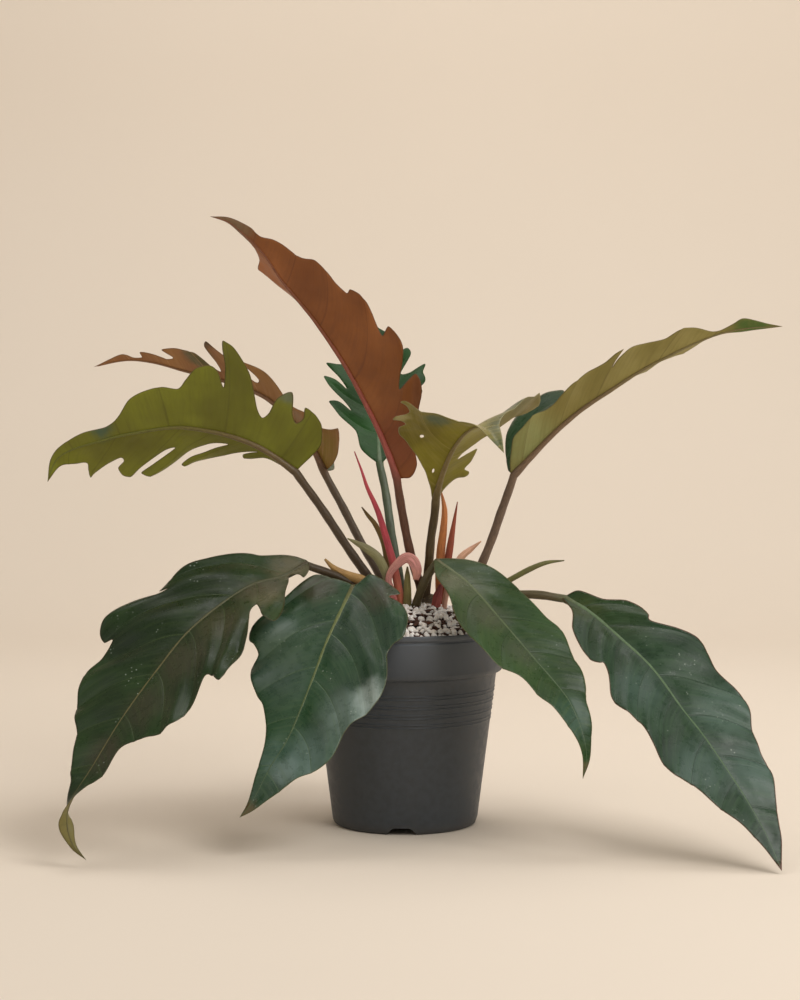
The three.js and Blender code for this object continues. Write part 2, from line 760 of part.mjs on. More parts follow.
// The middle surface of one half of a blade: side is 1 for the right half and -1 for the left.
function halfSurface(leaf, rib, side) {
  const half = side > 0 ? leaf.right : leaf.left;
  const folds = half.fold.map((angle, k) => [k / (half.fold.length - 1), THREE.MathUtils.degToRad(angle)]);
  const [height, period, phase] = half.wave;
  function point(along, out) {
    const { centre, up, right } = rib.frame(along);
    const share = THREE.MathUtils.clamp(along / rib.length, 0, 1);
    const fold = readRows(folds, share, THREE.MathUtils.lerp);
    const swing = (2 * Math.PI * (along - VEIN_SWEEP * out)) / period + phase;
    const rise = out * Math.sin(fold) + height * (out / WAVE_REACH) ** 2 * Math.sin(swing);
    return centre.addScaledVector(right, side * out * Math.cos(fold)).addScaledVector(up, rise);
  }
  function normal(along, out) {
    const forward = point(along + 1, out).sub(point(along - 1, out));
    const outward = point(along, out + 1).sub(point(along, Math.max(out - 1, 0)));
    const across = new THREE.Vector3().crossVectors(outward, forward);
    return across.multiplyScalar(side).normalize();
  }
  return { edge: half.edge, point, normal };
}

// The outline of a half, from the blade's foot to its tip, with a start that leans back a little.
function outlineOf(edge, length) {
  const [along, out] = edge[0];
  return [[0.25 * along - 0.2, 0.25 * out], ...edge.slice(0, -1), [length, 0]];
}

// Where on the rib each point of the outline has its foot, so that no two lines to the outline cross.
function feetOf(outline, length) {
  const count = outline.length;
  const low = outline.map(() => -Infinity);
  const high = outline.map(() => Infinity);
  for (let i = 0; i < count - 1; i++) {
    const run = outline[i + 1][0] - outline[i][0];
    const rise = outline[i + 1][1] - outline[i][1];
    if (rise === 0) continue;
    const crossing = outline[i][0] - (outline[i][1] * run) / rise;
    for (const k of [i, i + 1]) {
      if (rise > 0) low[k] = Math.max(low[k], crossing);
      else high[k] = Math.min(high[k], crossing);
    }
  }
  const least = [0];
  for (let i = 1; i < count; i++) least.push(Math.max(least[i - 1] + FOOT_GAP, low[i] + FOOT_MARGIN));
  const most = outline.map(() => length);
  for (let i = count - 2; i > 0; i--) most[i] = Math.min(most[i + 1] - FOOT_GAP, high[i] - FOOT_MARGIN);
  const feet = [0];
  for (let i = 1; i < count - 1; i++) {
    const wanted = outline[i][0] - FOOT_SLOPE * outline[i][1];
    feet.push(Math.min(most[i], Math.max(least[i], wanted, feet[i - 1] + FOOT_GAP)));
  }
  return [...feet, length];
}

// The columns of a half: each has a foot on the rib and a point [along, out] on the outline.
function columnsOf(edge, length) {
  const outline = outlineOf(edge, length);
  const feet = feetOf(outline, length);
  const columns = [];
  for (let i = 0; i < outline.length - 1; i++) {
    const parts = Math.ceil((feet[i + 1] - feet[i]) / LONGEST_COLUMN);
    for (let k = 0; k < parts; k++) {
      const t = k / parts;
      const foot = THREE.MathUtils.lerp(feet[i], feet[i + 1], t);
      const along = THREE.MathUtils.lerp(outline[i][0], outline[i + 1][0], t);
      const out = THREE.MathUtils.lerp(outline[i][1], outline[i + 1][1], t);
      columns.push({ foot, along, out });
    }
  }
  columns.push({ foot: length, along: length, out: 0 });
  return columns;
}

// Gives feet that nearly meet on the rib one place, so that both halves share it.
function shareFeet(columns, others) {
  for (const column of columns) {
    const near = others.find((other) => Math.abs(other.foot - column.foot) < FOOT_MARGIN);
    if (near) column.foot = near.foot;
  }
}

// The middle surface of a whole blade as points with normals, and triangles that face up.
function bladeSheet(leaf, rib) {
  const points = [];
  const normals = [];
  const triangles = [];
  const halves = [-1, 1].map((side) => halfSurface(leaf, rib, side));
  const columns = halves.map((half) => columnsOf(half.edge, rib.length));
  shareFeet(columns[1], columns[0]);
  const feet = [...new Set(columns.flat().map((column) => column.foot))].sort((a, b) => a - b);
  const add = (point, normal) => {
    normals.push(normal);
    return points.push(point) - 1;
  };
  const onRib = new Map();
  for (const foot of feet) {
    const { centre, up } = rib.frame(foot);
    onRib.set(foot, add(centre, up));
  }
  const tip = onRib.get(rib.length);
  halves.forEach((half, h) => {
    const face = (a, b, c) => triangles.push(h === 1 ? [a, b, c] : [a, c, b]);
    const place = (column, share) => {
      const along = THREE.MathUtils.lerp(column.foot, column.along, share);
      const out = column.out * share;
      return add(half.point(along, out), half.normal(along, out));
    };
    const own = columns[h];
    const last = own.length - 1;
    const middle = own.map((column, i) => (i === last ? tip : place(column, 0.5)));
    const edge = own.map((column, i) => (i === last ? tip : place(column, 1)));
    for (let i = 0; i < last; i++) {
      const between = feet.filter((foot) => foot >= own[i].foot && foot <= own[i + 1].foot);
      for (let k = 0; k < between.length - 1; k++) {
        face(onRib.get(between[k]), middle[i], onRib.get(between[k + 1]));
      }
      face(middle[i], edge[i], edge[i + 1]);
      if (i < last - 1) {
        face(onRib.get(own[i + 1].foot), middle[i], middle[i + 1]);
        face(middle[i], edge[i + 1], middle[i + 1]);
      }
    }
  });
  return { points, normals, triangles };
}

// Gives a sheet its thickness, with both faces split alike and a rim round the outline.
function thickened({ points, normals, triangles }) {
  const shift = (amount) => points.map((point, i) => point.clone().addScaledVector(normals[i], amount));
  const count = points.length;
  const under = triangles.map(([a, b, c]) => [a + count, c + count, b + count]);
  const rim = [];
  const sides = new Set(triangles.flatMap(([a, b, c]) => [`${a} ${b}`, `${b} ${c}`, `${c} ${a}`]));
  for (const side of sides) {
    const [a, b] = side.split(" ").map(Number);
    if (!sides.has(`${b} ${a}`)) rim.push([b, a, a + count], [b, a + count, b + count]);
  }
  return solidOf([...shift(BLADE_THICK / 2), ...shift(-BLADE_THICK / 2)], [...triangles, ...under, ...rim]);
}

// The stalk goes up to the blade's foot and on under the blade as its midrib.
function stalkRings(leaf, rib, grow) {
  const foot = rib.frame(0);
  const path = smoothCurve([...leaf.stalk.map(vector), foot.centre.clone()]);
  const length = path.getLength();
  const drop = (radius) => radius + BLADE_THICK / 2 + RIB_CLEARANCE;
  const rings = [];
  for (let k = 0; k < STALK_STEPS; k++) {
    const share = k / STALK_STEPS;
    const radius = THREE.MathUtils.lerp(STALK_FOOT_RADIUS, STALK_TOP_RADIUS, Math.sqrt(share));
    const fromTop = length * (1 - share);
    const fade = 1 - THREE.MathUtils.smoothstep(fromTop, STALK_FADE_START, STALK_FADE_END);
    const centre = path.getPointAt(share).addScaledVector(foot.up, -drop(radius) * fade);
    rings.push({ centre, radius });
  }
  const along = rib.length * RIB_SHARE;
  const ribSteps = Math.round(along / RIB_STEP);
  for (let k = 0; k <= ribSteps; k++) {
    const share = k / ribSteps;
    const { centre, up } = rib.frame(along * share);
    const radius = THREE.MathUtils.lerp(RIB_RADIUS, RIB_TIP_RADIUS, share);
    rings.push({ centre: centre.addScaledVector(up, -drop(radius)), radius, up });
  }
  let up = foot.up.clone();
  for (let i = rings.length - 1; i >= 0; i--) {
    if (rings[i].up) {
      up = rings[i].up.clone();
      continue;
    }
    const tangent = rings[i + 1].centre.clone().sub(rings[i].centre).normalize();
    up.addScaledVector(tangent, -up.dot(tangent)).normalize();
    rings[i].up = up.clone();
  }
  return rings.map((ring) => ({
    centre: ring.centre,
    up: ring.up,
    high: ring.radius + grow,
    wide: ring.radius + grow,
  }));
}

// Sheaths are flat ribbons or rolled tubes, their broad side to the viewer.
function sheath({ path, wide, thick }, grow) {
  const rings = path.map((point, i) => ({
    centre: vector(point),
    up: new THREE.Vector3(0, -1, 0),
    wide: wide[i] + grow,
    high: Math.min(thick, wide[i]) + grow,
  }));
  return tube(rings, SHEATH_SIDES);
}

function plant() {
  const group = new THREE.Group();
  const cutters = [];
  for (const [name, spec] of Object.entries(CROWNS)) {
    group.add(meshOf(name, crown(spec, 0), ...COLOURS.crown));
    cutters.push(crown(spec, SEAT_GAP));
  }
  for (const name of STALK_ORDER) {
    const leaf = LEAVES[name];
    const rib = ribOf(leaf);
    const stalk = tube(stalkRings(leaf, rib, 0), STALK_SIDES);
    const [bladeColour, stalkColour] = LEAF_LOOKS[name];
    group.add(meshOf(`stalk_${name}`, cutBy(stalk, cutters), stalkColour, 0.5));
    group.add(meshOf(`leaf_${name}`, thickened(bladeSheet(leaf, rib)), bladeColour, 0.45));
    cutters.push(tube(stalkRings(leaf, rib, SEAT_GAP), STALK_SIDES));
  }
  for (const [name, spec] of Object.entries(SHEATHS)) {
    group.add(meshOf(name, cutBy(sheath(spec, 0), cutters), spec.colour, 0.6));
    cutters.push(sheath(spec, SEAT_GAP));
  }
  group.add(meshOf("soil", soil(cutters), ...COLOURS.soil));
  return group;
}

const philodendron = new THREE.Group();
philodendron.add(meshOf("pot", pot(), ...COLOURS.pot));
philodendron.add(plant());

export default philodendron;
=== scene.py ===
import math

import bmesh
import bpy
import numpy as np
from mathutils import Euler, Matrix, Vector, geometry, noise


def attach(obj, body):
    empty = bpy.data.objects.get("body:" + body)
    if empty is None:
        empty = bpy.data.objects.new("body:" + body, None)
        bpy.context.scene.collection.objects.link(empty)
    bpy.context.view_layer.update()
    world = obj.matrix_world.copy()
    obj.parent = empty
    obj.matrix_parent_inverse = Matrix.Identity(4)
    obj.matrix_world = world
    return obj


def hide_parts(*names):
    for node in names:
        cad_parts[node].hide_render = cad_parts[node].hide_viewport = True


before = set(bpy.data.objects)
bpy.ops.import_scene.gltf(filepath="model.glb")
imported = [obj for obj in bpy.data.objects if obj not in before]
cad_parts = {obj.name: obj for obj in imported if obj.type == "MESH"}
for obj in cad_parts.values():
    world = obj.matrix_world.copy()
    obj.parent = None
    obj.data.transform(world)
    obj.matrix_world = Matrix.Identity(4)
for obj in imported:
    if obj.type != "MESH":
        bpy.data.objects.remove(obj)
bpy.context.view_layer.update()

# The script's own unit is the millimetre, and MM turns it into Blender's metre.
MM = 0.001

# The plant: each stalk runs up from the soil to the foot of its midrib, and the midrib on to the tip.
# Each row of face is a distance along the rib and the way that the upper side looks there. Left and right
# are as seen from the upper side, looking to the tip. fold is how far a half is raised, in degrees, from
# foot to tip. wave is its height, length and phase, and edge is its outline as [along the rib, out from
# it]. sweep is how its side veins lean and bend to the tip, where that isn't as usual. Each row of holes
# is a hole's place and its half sizes.
LEAVES = {
  "low_left": {
    "stalk": [[-6, 0, 172], [-17, -8, 193], [-43, -20, 207], [-64, -28, 218]],
    "rib": [
      [-83, -35, 227], [-103, -50, 217], [-132, -70, 209], [-173, -102, 180], [-200, -128, 148],
      [-226, -152, 112], [-247, -172, 77], [-262, -184, 53], [-265, -190, 37], [-260, -192, 19],
      [-250, -188, 6],
    ],
    "face": [
      [0, -0.25, -0.55, 0.8], [280, -0.5, -0.7, 0.45], [302, -0.9, -0.2, 0.2], [325, -0.4, 0.9, 0.1],
    ],
    "left": {
      "fold": [8, 4], "wave": [2, 60, 0],
      "edge": [
        [0, 3], [8, 13], [19, 20], [18, 12], [23, 5], [34, 20], [58, 48], [86, 66], [90, 56], [82, 42],
        [77, 31], [88, 36], [114, 60], [146, 73], [170, 75], [168, 64], [169, 56], [196, 61], [216, 60],
        [230, 46], [238, 28], [248, 19], [270, 17], [284, 10], [298, 10], [316, 8], [334, 3], [354, 0],
      ],
    },
    "right": {
      "fold": [8, 4], "wave": [2, 60, 2],
      "edge": [
        [-2, 3], [10, 22], [42, 41], [74, 55], [94, 58], [109, 55], [104, 51], [113, 54], [128, 66],
        [146, 72], [160, 70], [164, 64], [160, 57], [181, 53], [202, 56], [228, 46], [246, 31], [276, 18],
        [286, 11], [298, 9], [316, 7], [334, 3], [354, 0],
      ],
    },
  },
  "front_left": {
    "stalk": [[-4, -2, 170], [-15, -14, 191], [-31, -32, 204]],
    "rib": [
      [-44, -45, 208], [-54, -64, 188], [-65, -84, 165], [-75, -102, 139], [-93, -128, 96],
      [-108, -142, 72], [-122, -153, 46], [-132, -158, 34],
    ],
    "face": [[0, -0.15, -0.7, 0.7], [228, -0.25, -0.85, 0.45]],
    "left": {
      "fold": [6, 3], "wave": [2, 55, 1],
      "edge": [
        [-5, 4], [-14, 10], [-12, 20], [-4, 37], [1, 44], [8, 37], [13, 50], [28, 62], [44, 64], [54, 58],
        [65, 56], [87, 64], [103, 63], [120, 55], [138, 45], [158, 43], [174, 32], [195, 18], [214, 7],
        [228, 0],
      ],
    },
    "right": {
      "fold": [6, 3], "wave": [2, 55, 3],
      "edge": [
        [-2, 3], [-3, 18], [0, 34], [24, 48], [50, 60], [66, 64], [76, 62], [79, 57], [86, 52], [100, 53],
        [112, 48], [124, 39], [131, 31], [148, 22], [170, 13], [196, 7], [214, 3], [228, 0],
      ],
    },
  },
  "front_right": {
    "stalk": [[6, -4, 165], [8, -14, 183], [13, -20, 201], [19, -22, 215]],
    "rib": [
      [27, -20, 228], [53, -55, 211], [76, -85, 187], [97, -108, 164], [125, -135, 133], [134, -144, 119],
      [141, -152, 101], [144, -156, 82], [141, -158, 65],
    ],
    "face": [[0, 0.2, -0.6, 0.75], [257, 0.5, -0.7, 0.45]],
    "left": {
      "fold": [10, 8], "wave": [2, 50, 0],
      "edge": [
        [0, 3], [12, 16], [36, 26], [60, 31], [88, 34], [112, 35], [130, 38], [148, 33], [170, 27],
        [186, 21], [197, 14], [216, 10], [232, 5], [257, 0],
      ],
    },
    "right": {
      "fold": [10, 8], "wave": [2, 50, 2],
      "edge": [
        [0, 3], [7, 8], [28, 21], [66, 34], [94, 44], [119, 45], [140, 41], [167, 29], [184, 26], [200, 20],
        [214, 13], [230, 7], [246, 3], [257, 0],
      ],
    },
  },
  "low_right": {
    "stalk": [[27, -6, 160], [34, -12, 174], [59, -26, 191], [88, -36, 199], [113, -42, 201]],
    "rib": [
      [134, -45, 199], [155, -62, 187], [178, -85, 168], [201, -108, 147], [223, -132, 117],
      [238, -148, 98], [253, -164, 76], [267, -180, 54], [281, -198, 28], [291, -212, 3],
    ],
    "face": [[0, 0.15, -0.7, 0.7], [306, 0.25, -0.85, 0.45]],
    "left": {
      "fold": [6, 4], "wave": [2, 62, 0],
      "edge": [
        [0, 3], [5, 12], [25, 18], [38, 31], [52, 37], [61, 35], [67, 32], [88, 43], [104, 50], [117, 48],
        [132, 45], [156, 48], [174, 48], [192, 39], [213, 32], [232, 31], [247, 24], [270, 14], [285, 9],
        [309, 0],
      ],
    },
    "right": {
      "fold": [6, 4], "wave": [2, 62, 2],
      "edge": [
        [0, 3], [17, 11], [36, 28], [60, 38], [74, 40], [81, 37], [83, 34], [94, 38], [117, 50], [134, 50],
        [150, 42], [168, 44], [188, 48], [204, 46], [216, 35], [233, 30], [251, 22], [266, 14], [285, 7],
        [309, 0],
      ],
    },
  },
  "left": {
    "stalk": [[-13, 0, 172], [-17, 2, 188], [-30, 3, 209], [-49, 5, 236], [-72, 6, 271]],
    "rib": [
      [-93, 5, 302], [-120, 0, 321], [-146, 0, 332], [-173, 2, 338], [-199, 5, 340], [-238, 10, 334],
      [-262, 13, 328], [-288, 17, 320], [-302, 20, 310], [-309, 20, 292],
    ],
    "face": [[0, 0.05, 0.85, 0.5], [245, 0.1, 0.8, 0.6]],
    "left": {
      "fold": [10, 8], "sweep": [0.02, 0.001], "wave": [2, 45, 0],
      "edge": [
        [0, 3], [-3, 30], [7, 46], [18, 52], [26, 51], [23, 42], [25, 35], [30, 40], [36, 56], [42, 46],
        [43, 31], [46, 25], [52, 33], [62, 60], [70, 76], [75, 83], [81, 84], [81, 75], [78, 60], [77, 42],
        [82, 54], [88, 59], [98, 56], [104, 44], [109, 35], [120, 38], [134, 36], [147, 30], [160, 17],
        [172, 11], [194, 11], [216, 7], [232, 3], [245, 0],
      ],
    },
    "right": {
      "fold": [10, 8], "sweep": [0.9, 0.008], "wave": [0, 45, 0],
      "edge": [
        [0, 3], [14, 5], [28, 8], [40, 17], [48, 20], [50, 17], [44, 11.5], [38, 6.5], [54, 17], [70, 28],
        [92, 39], [110, 47], [118, 46], [105, 37.5], [91, 29], [78, 19.5], [66, 11], [82, 16], [100, 27],
        [120, 40], [138, 50], [152, 54], [160, 50], [148, 43], [134, 35], [120, 26], [130, 27], [144, 34],
        [158, 42], [170, 49], [178, 46], [179, 37], [171, 31], [172, 26], [184, 28], [198, 33], [210, 36],
        [206, 28], [203, 21], [214, 16], [228, 6], [245, 0],
      ],
    },
  },
  "back_left": {
    "stalk": [[-6, 8, 172], [-10, 10, 191], [-22, 16, 213], [-36, 25, 236], [-51, 34, 264]],
    "rib": [
      [-69, 45, 301], [-82, 58, 324], [-101, 72, 346], [-123, 86, 364], [-149, 100, 375], [-176, 114, 382],
      [-201, 127, 388], [-229, 141, 395], [-256, 153, 397], [-287, 165, 391],
    ],
    "face": [[0, 0.3, 0.6, 0.75], [281, 0.2, 0.7, 0.7]],
    "left": {
      "fold": [12, 10], "wave": [2, 45, 0],
      "edge": [
        [-2, 12], [0, 27], [8, 44], [14, 44], [21, 31], [29, 24], [41, 22], [51, 18], [62, 14], [75, 15],
        [95, 25], [113, 27], [126, 29], [115, 23], [103, 15], [106, 11], [122, 20], [141, 32], [154, 38],
        [158, 31], [147, 18], [143, 9], [153, 13], [169, 24], [184, 23], [206, 17], [195, 11], [202, 8],
        [216, 9], [230, 9], [229, 4], [238, 3], [247, 7], [262, 4], [281, 0],
      ],
    },
    "right": {
      "fold": [42, 42], "wave": [2, 45, 2],
      "edge": [
        [0, 3], [6, 18], [24, 30], [46, 34], [62, 28], [62, 18], [78, 24], [100, 32], [114, 24], [112, 14],
        [128, 20], [148, 24], [156, 14], [172, 10], [200, 8], [224, 7], [250, 4], [281, 0],
      ],
    },
  },
  "tall": {
    "stalk": [[16, 2, 172], [14, 0, 199], [10, -3, 214], [4, -6, 235], [-2, -10, 266]],
    "rib": [
      [-6, -15, 297], [-13, -20, 317], [-25, -28, 345], [-49, -38, 391], [-73, -46, 427], [-88, -51, 446],
      [-102, -55, 463], [-114, -59, 481], [-124, -62, 493], [-134, -65, 502], [-146, -68, 511],
      [-160, -71, 515],
    ],
    "face": [[0, 0.4, 0.85, 0.3], [279, 0.45, 0.75, 0.5]],
    "left": {
      "fold": [8, 8], "wave": [2, 50, 0],
      "edge": [
        [-1, 5], [-2, 10], [1, 15], [8, 20], [16, 22], [28, 25], [40, 32], [52, 42], [61, 50], [70, 54],
        [78, 51], [76, 43], [72, 33], [82, 39], [92, 48], [103, 56], [112, 58], [120, 52], [116, 43],
        [126, 44], [136, 47], [146, 50], [154, 50], [160, 44], [159, 39], [170, 37], [184, 38], [197, 36],
        [206, 28], [216, 22], [229, 15], [237, 9], [247, 9], [258, 6], [279, 0],
      ],
    },
    "right": {
      "fold": [60, 60, 58, 30, 20], "wave": [2, 50, 2],
      "edge": [
        [-1, 4], [2, 12], [12, 20], [28, 24], [46, 20], [54, 15], [64, 20], [82, 24], [98, 20], [106, 15],
        [118, 20], [132, 22], [144, 17], [160, 17], [176, 18], [190, 22], [207, 28], [213, 32], [221, 17],
        [232, 7], [246, 5], [279, 0],
      ],
    },
  },
  "back": {
    "stalk": [[-2, 8, 172], [-4, 12, 204], [-9, 20, 231], [-13, 28, 256], [-17, 38, 284]],
    "rib": [
      [-22, 45, 308], [-24, 78, 335], [-27, 112, 366], [-32, 145, 396], [-39, 172, 423], [-46, 190, 438],
      [-54, 208, 452],
    ],
    "face": [[0, 0, -0.75, 0.65], [208, 0, -0.75, 0.65]],
    "left": {
      "fold": [6, 6], "wave": [2, 40, 0],
      "edge": [
        [0, 3], [16, 16], [41, 20], [60, 34], [80, 42], [78, 33], [66, 23], [80, 29], [100, 41], [114, 44],
        [108, 34], [96, 25], [112, 31], [124, 37], [132, 40], [130, 30], [132, 22], [150, 30], [164, 22],
        [182, 12], [208, 0],
      ],
    },
    "right": {
      "fold": [6, 6], "wave": [2, 40, 2],
      "edge": [
        [0, 3], [26, 20], [50, 30], [86, 43], [80, 32], [76, 26], [94, 46], [108, 46], [118, 49], [110, 34],
        [112, 26], [132, 38], [140, 36], [136, 24], [150, 30], [162, 22], [176, 14], [208, 0],
      ],
    },
  },
  "forward": {
    "stalk": [[16, 2, 172], [17, 0, 192], [20, -5, 218], [22, -10, 244], [25, -15, 266]],
    "rib": [
      [26, -20, 281], [30, -35, 298], [36, -55, 316], [43, -76, 330], [50, -95, 339], [58, -113, 344],
      [65, -130, 342], [72, -143, 334], [78, -152, 324],
    ],
    "face": [[0, 0, 0.7, 0.7], [100, 0.05, 0.1, 1], [170, 0.2, -0.6, 0.75]],
    "left": {
      "fold": [15, 30], "wave": [2, 45, 0],
      "edge": [
        [0, 3], [10, 6], [20, 14], [22, 24], [27, 25], [31, 20], [39, 24], [50, 26], [55, 25], [51, 17],
        [46, 10], [56, 13], [64, 20], [74, 30], [82, 46], [88, 60], [96, 68], [110, 70], [118, 62],
        [120, 50], [122, 36], [128, 22], [140, 11], [156, 5], [170, 0],
      ],
    },
    "right": {
      "fold": [15, 10], "wave": [2, 45, 2], "holes": [[67, 28, 3.6, 1.5], [29, 8, 2.6, 0.9]],
      "edge": [
        [-2, 3], [8, 6], [17, 10], [25, 14], [32, 19], [40, 25], [47, 32], [54, 39], [60, 46], [70, 49],
        [78, 46], [84, 52], [87, 60], [92, 60], [93, 52], [98, 50], [104, 55], [110, 64], [116, 62],
        [118, 44], [124, 30], [128, 16], [140, 9], [156, 5], [170, 0],
      ],
    },
  },
  "right": {
    "stalk": [[37, 2, 168], [47, -2, 192], [62, -6, 216], [74, -10, 245], [82, -14, 270], [87, -17, 287]],
    "rib": [
      [91, -20, 301], [106, -26, 317], [126, -33, 338], [148, -40, 357], [173, -48, 374], [194, -54, 388],
      [214, -59, 399], [238, -64, 411], [262, -68, 420], [285, -71, 424], [310, -73, 425],
    ],
    "face": [[0, -0.35, 0.6, 0.7], [265, -0.3, 0.6, 0.75]],
    "left": {
      "fold": [75, -15], "sweep": [1.1, 0.004], "wave": [2, 50, 0],
      "edge": [
        [-2, 7], [0, 18], [3, 30], [8, 43], [14, 56], [20, 68], [25, 70], [31, 58], [35, 58], [42, 66],
        [54, 78], [64, 83], [66, 76], [58, 60], [62, 50], [74, 46], [88, 42], [104, 36], [120, 30],
        [136, 24], [150, 17], [160, 11], [170, 10], [180, 11], [190, 8], [199, 3], [216, 2], [230, 4],
        [244, 3], [265, 0],
      ],
    },
    "right": {
      "fold": [8, 5], "sweep": [1.1, 0.004], "wave": [2, 50, 2],
      "edge": [
        [0, 3], [8, 11], [16, 18], [28, 28], [40, 30], [52, 31], [61, 24], [70, 24], [80, 28], [92, 32],
        [104, 32], [114, 30], [124, 31], [135, 35], [142, 35], [132, 28], [126, 23], [135, 28], [146, 30],
        [156, 25], [166, 22], [174, 21], [187, 24], [194, 19], [202, 11], [209, 5], [216, 4], [226, 8],
        [233, 12], [242, 8], [252, 4], [265, 0],
      ],
    },
  },
}

# Young growths and dry sheaths: the path from the tip down, half widths, half thickness and colour. broad
# widens the strip and bow is how far it is bowed, where that isn't as usual. foot is the colour that it
# turns to at its foot.
SHEATHS = {
  "new_leaf": {
    "path": [
      [-43, -16, 320], [-37, -15, 304], [-32, -14, 289], [-26, -13, 276], [-21, -12, 263], [-14, -11, 239],
      [-9, -11, 220], [-4, -11, 194], [-3, -11, 180],
    ],
    "wide": [0.5, 1.1, 1.7, 2.3, 2.8, 3.4, 3.8, 3.8, 3.4],
    "thick": 2.6, "colour": 0xCA4A5C, "foot": 0xCC8258,
  },
  "sheath_curl": {
    "path": [
      [9, -22, 211], [10, -22, 219], [7, -22, 227], [1, -22, 230], [-6, -21, 225], [-12, -20, 218],
      [-14, -19, 210], [-11, -18, 200], [-9, -17, 188], [-8, -16, 180],
    ],
    "wide": [1.6, 3.0, 3.3, 3.1, 2.6, 2.0, 1.9, 2.2, 2.2, 2.2],
    "thick": 0.7, "broad": 1.45, "bow": 0.1, "colour": 0xE6A09A, "foot": 0xB8474C,
  },
  "sheath_green": {
    "path": [[2, -16, 222], [2, -16, 214], [2, -16, 201], [2, -15, 187], [2, -14, 180]],
    "wide": [0.6, 2.4, 3.4, 3.6, 3.2],
    "thick": 0.9, "colour": 0x8C8250,
  },
  "sheath_olive": {
    "path": [
      [-49, -16, 246], [-41, -17, 242], [-32, -17, 237], [-22, -17, 228], [-15, -16, 211], [-13, -14, 191],
      [-12, -12, 181],
    ],
    "wide": [0.5, 2.2, 3.6, 4.2, 3.6, 2.6, 2.4],
    "thick": 0.7, "colour": 0x98946E,
  },
  "sheath_tan": {
    "path": [
      [-68, -24, 229], [-60, -24, 221], [-48, -25, 215], [-37, -25, 211], [-24, -23, 203], [-17, -20, 190],
      [-15, -18, 179],
    ],
    "wide": [0.5, 1.4, 2, 2.4, 2.6, 2.4, 2.2],
    "thick": 0.7, "broad": 1.9, "colour": 0xBE965F,
  },
  "sheath_pink": {
    "path": [[31, -15, 207], [28, -14, 197], [26, -13, 186], [25, -12, 179]],
    "wide": [1.5, 3.8, 4, 3.4],
    "thick": 1.2, "colour": 0xB45A5A, "foot": 0xB4603E,
  },
  "sheath_pale": {
    "path": [[65, -8, 243], [56, -8, 236], [48, -8, 229], [40, -8, 214], [35, -7, 196], [33, -6, 181]],
    "wide": [0.5, 2.4, 3.2, 3, 2.4, 2.2],
    "thick": 0.8, "colour": 0xE8B49E,
  },
  "sheath_thin": {
    "path": [
      [134, -38, 229], [119, -36, 227], [105, -32, 221], [86, -26, 210], [68, -19, 200], [51, -10, 189],
      [44, -6, 180],
    ],
    "wide": [0.5, 1.8, 2.4, 2.4, 2.2, 2, 2],
    "thick": 0.8, "colour": 0x787846,
  },
  "sheath_orange": {
    "path": [
      [31, 9, 285], [34, 9, 269], [33, 9, 251], [31, 9, 234], [30, 8, 213], [30, 8, 192], [30, 8, 179],
    ],
    "wide": [0.6, 2.4, 3.2, 3.8, 4, 3.6, 3.4],
    "thick": 1, "colour": 0xCC8046, "foot": 0xC8684C,
  },
  "sheath_red": {
    "path": [[45, 4, 276], [42, 4, 258], [39, 4, 239], [36, 4, 218], [34, 4, 194], [33, 4, 180]],
    "wide": [0.4, 1.7, 3.0, 3.4, 3.0, 2.4],
    "thick": 0.9, "colour": 0xA24E36, "foot": 0xC4623C,
  },
  "sheath_brown": {
    "path": [
      [-37, -4, 272], [-32, -3, 265], [-25, -2, 256], [-18, -1, 240], [-15, -1, 220], [-14, -2, 200],
      [-14, -4, 181],
    ],
    "wide": [0.5, 1.6, 2.2, 2.6, 2.6, 2.4, 2.2],
    "thick": 0.8, "colour": 0x7A6230,
  },
}

# Sizes that the part's solids share
POT_HEIGHT = 170
POT_RIM_RADIUS = 86
POT_FOOT_RADIUS = 62.3
POT_FOOT_TOP = 4
POT_WALL = 2.8
POT_FLOOR = 9.5
POT_UNDERSIDE = 6.5
SHOULDER_LOW = 131
SHOULDER_RADIUS = 78.5
NOTCH_COUNT = 4
NOTCH_TURN = -92.7
NOTCH_HEIGHT = 6
DRAIN_COUNT = 6
DRAIN_RADIUS = 4.5
DRAIN_CIRCLE_RADIUS = 34
SOIL_EDGE = 164.5
SOIL_MIDDLE = 187
SOIL_RADIUS = 82.2
SOIL_GAP = 0.4
CROWN_FOOT = 150
CROWN_TOP = 198
CROWNS = {"crown_left": ((-3, 4), 9), "crown_right": ((20, 1), 10)}
RIB_RADIUS = 2.9
STALK_FOOT_RADIUS = 4.6
STALK_TOP_RADIUS = 3.5

# A blade's waves have their given height at WAVE_REACH from the rib, and lean to the tip.
WAVE_REACH = 50
WAVE_LEAN = 0.4

# Side veins: one runs to each lobe, swept to the tip, and the blade swells between them.
VEIN_SWEEP_USUAL = (0.35, 0.015)
VEIN_GAP = 46
VEIN_GAP_LEAST = 26
LOBE_LEAST = 12
VEIN_SWELL = 0.8
MARGIN_SWELL = 1.9
VEIN_FURROW = 0.55

# The net of a blade: rows of points GRID_ROW steps apart, kept clear of the outline by GRID_CLEAR steps and
# of a hole by HOLE_CLEAR. EDGE_PULL is how strongly the outline bends to its next points.
BLADE_STEP = 1.6
GRID_ROW = 0.87
GRID_CLEAR = 0.55
HOLE_CLEAR = 0.7
OUTLINE_STEP = 1.4
EDGE_PULL = 0.42
BLADE_HALF_THICK = 0.28

# The midrib: how deep it sinks into its blade in radii, how much of the blade it runs along, how far along
# it the stalk's thickness fades out, and the reach to each side over which its direction is measured.
# STALK_STEP is the distance between a stalk's rings.
RIB_TIP_RADIUS = 0.4
RIB_SINK = 0.6
RIB_SHARE = 0.985
RIB_BLEND = 14
RIB_LOOK = 3
STALK_STEP = 3

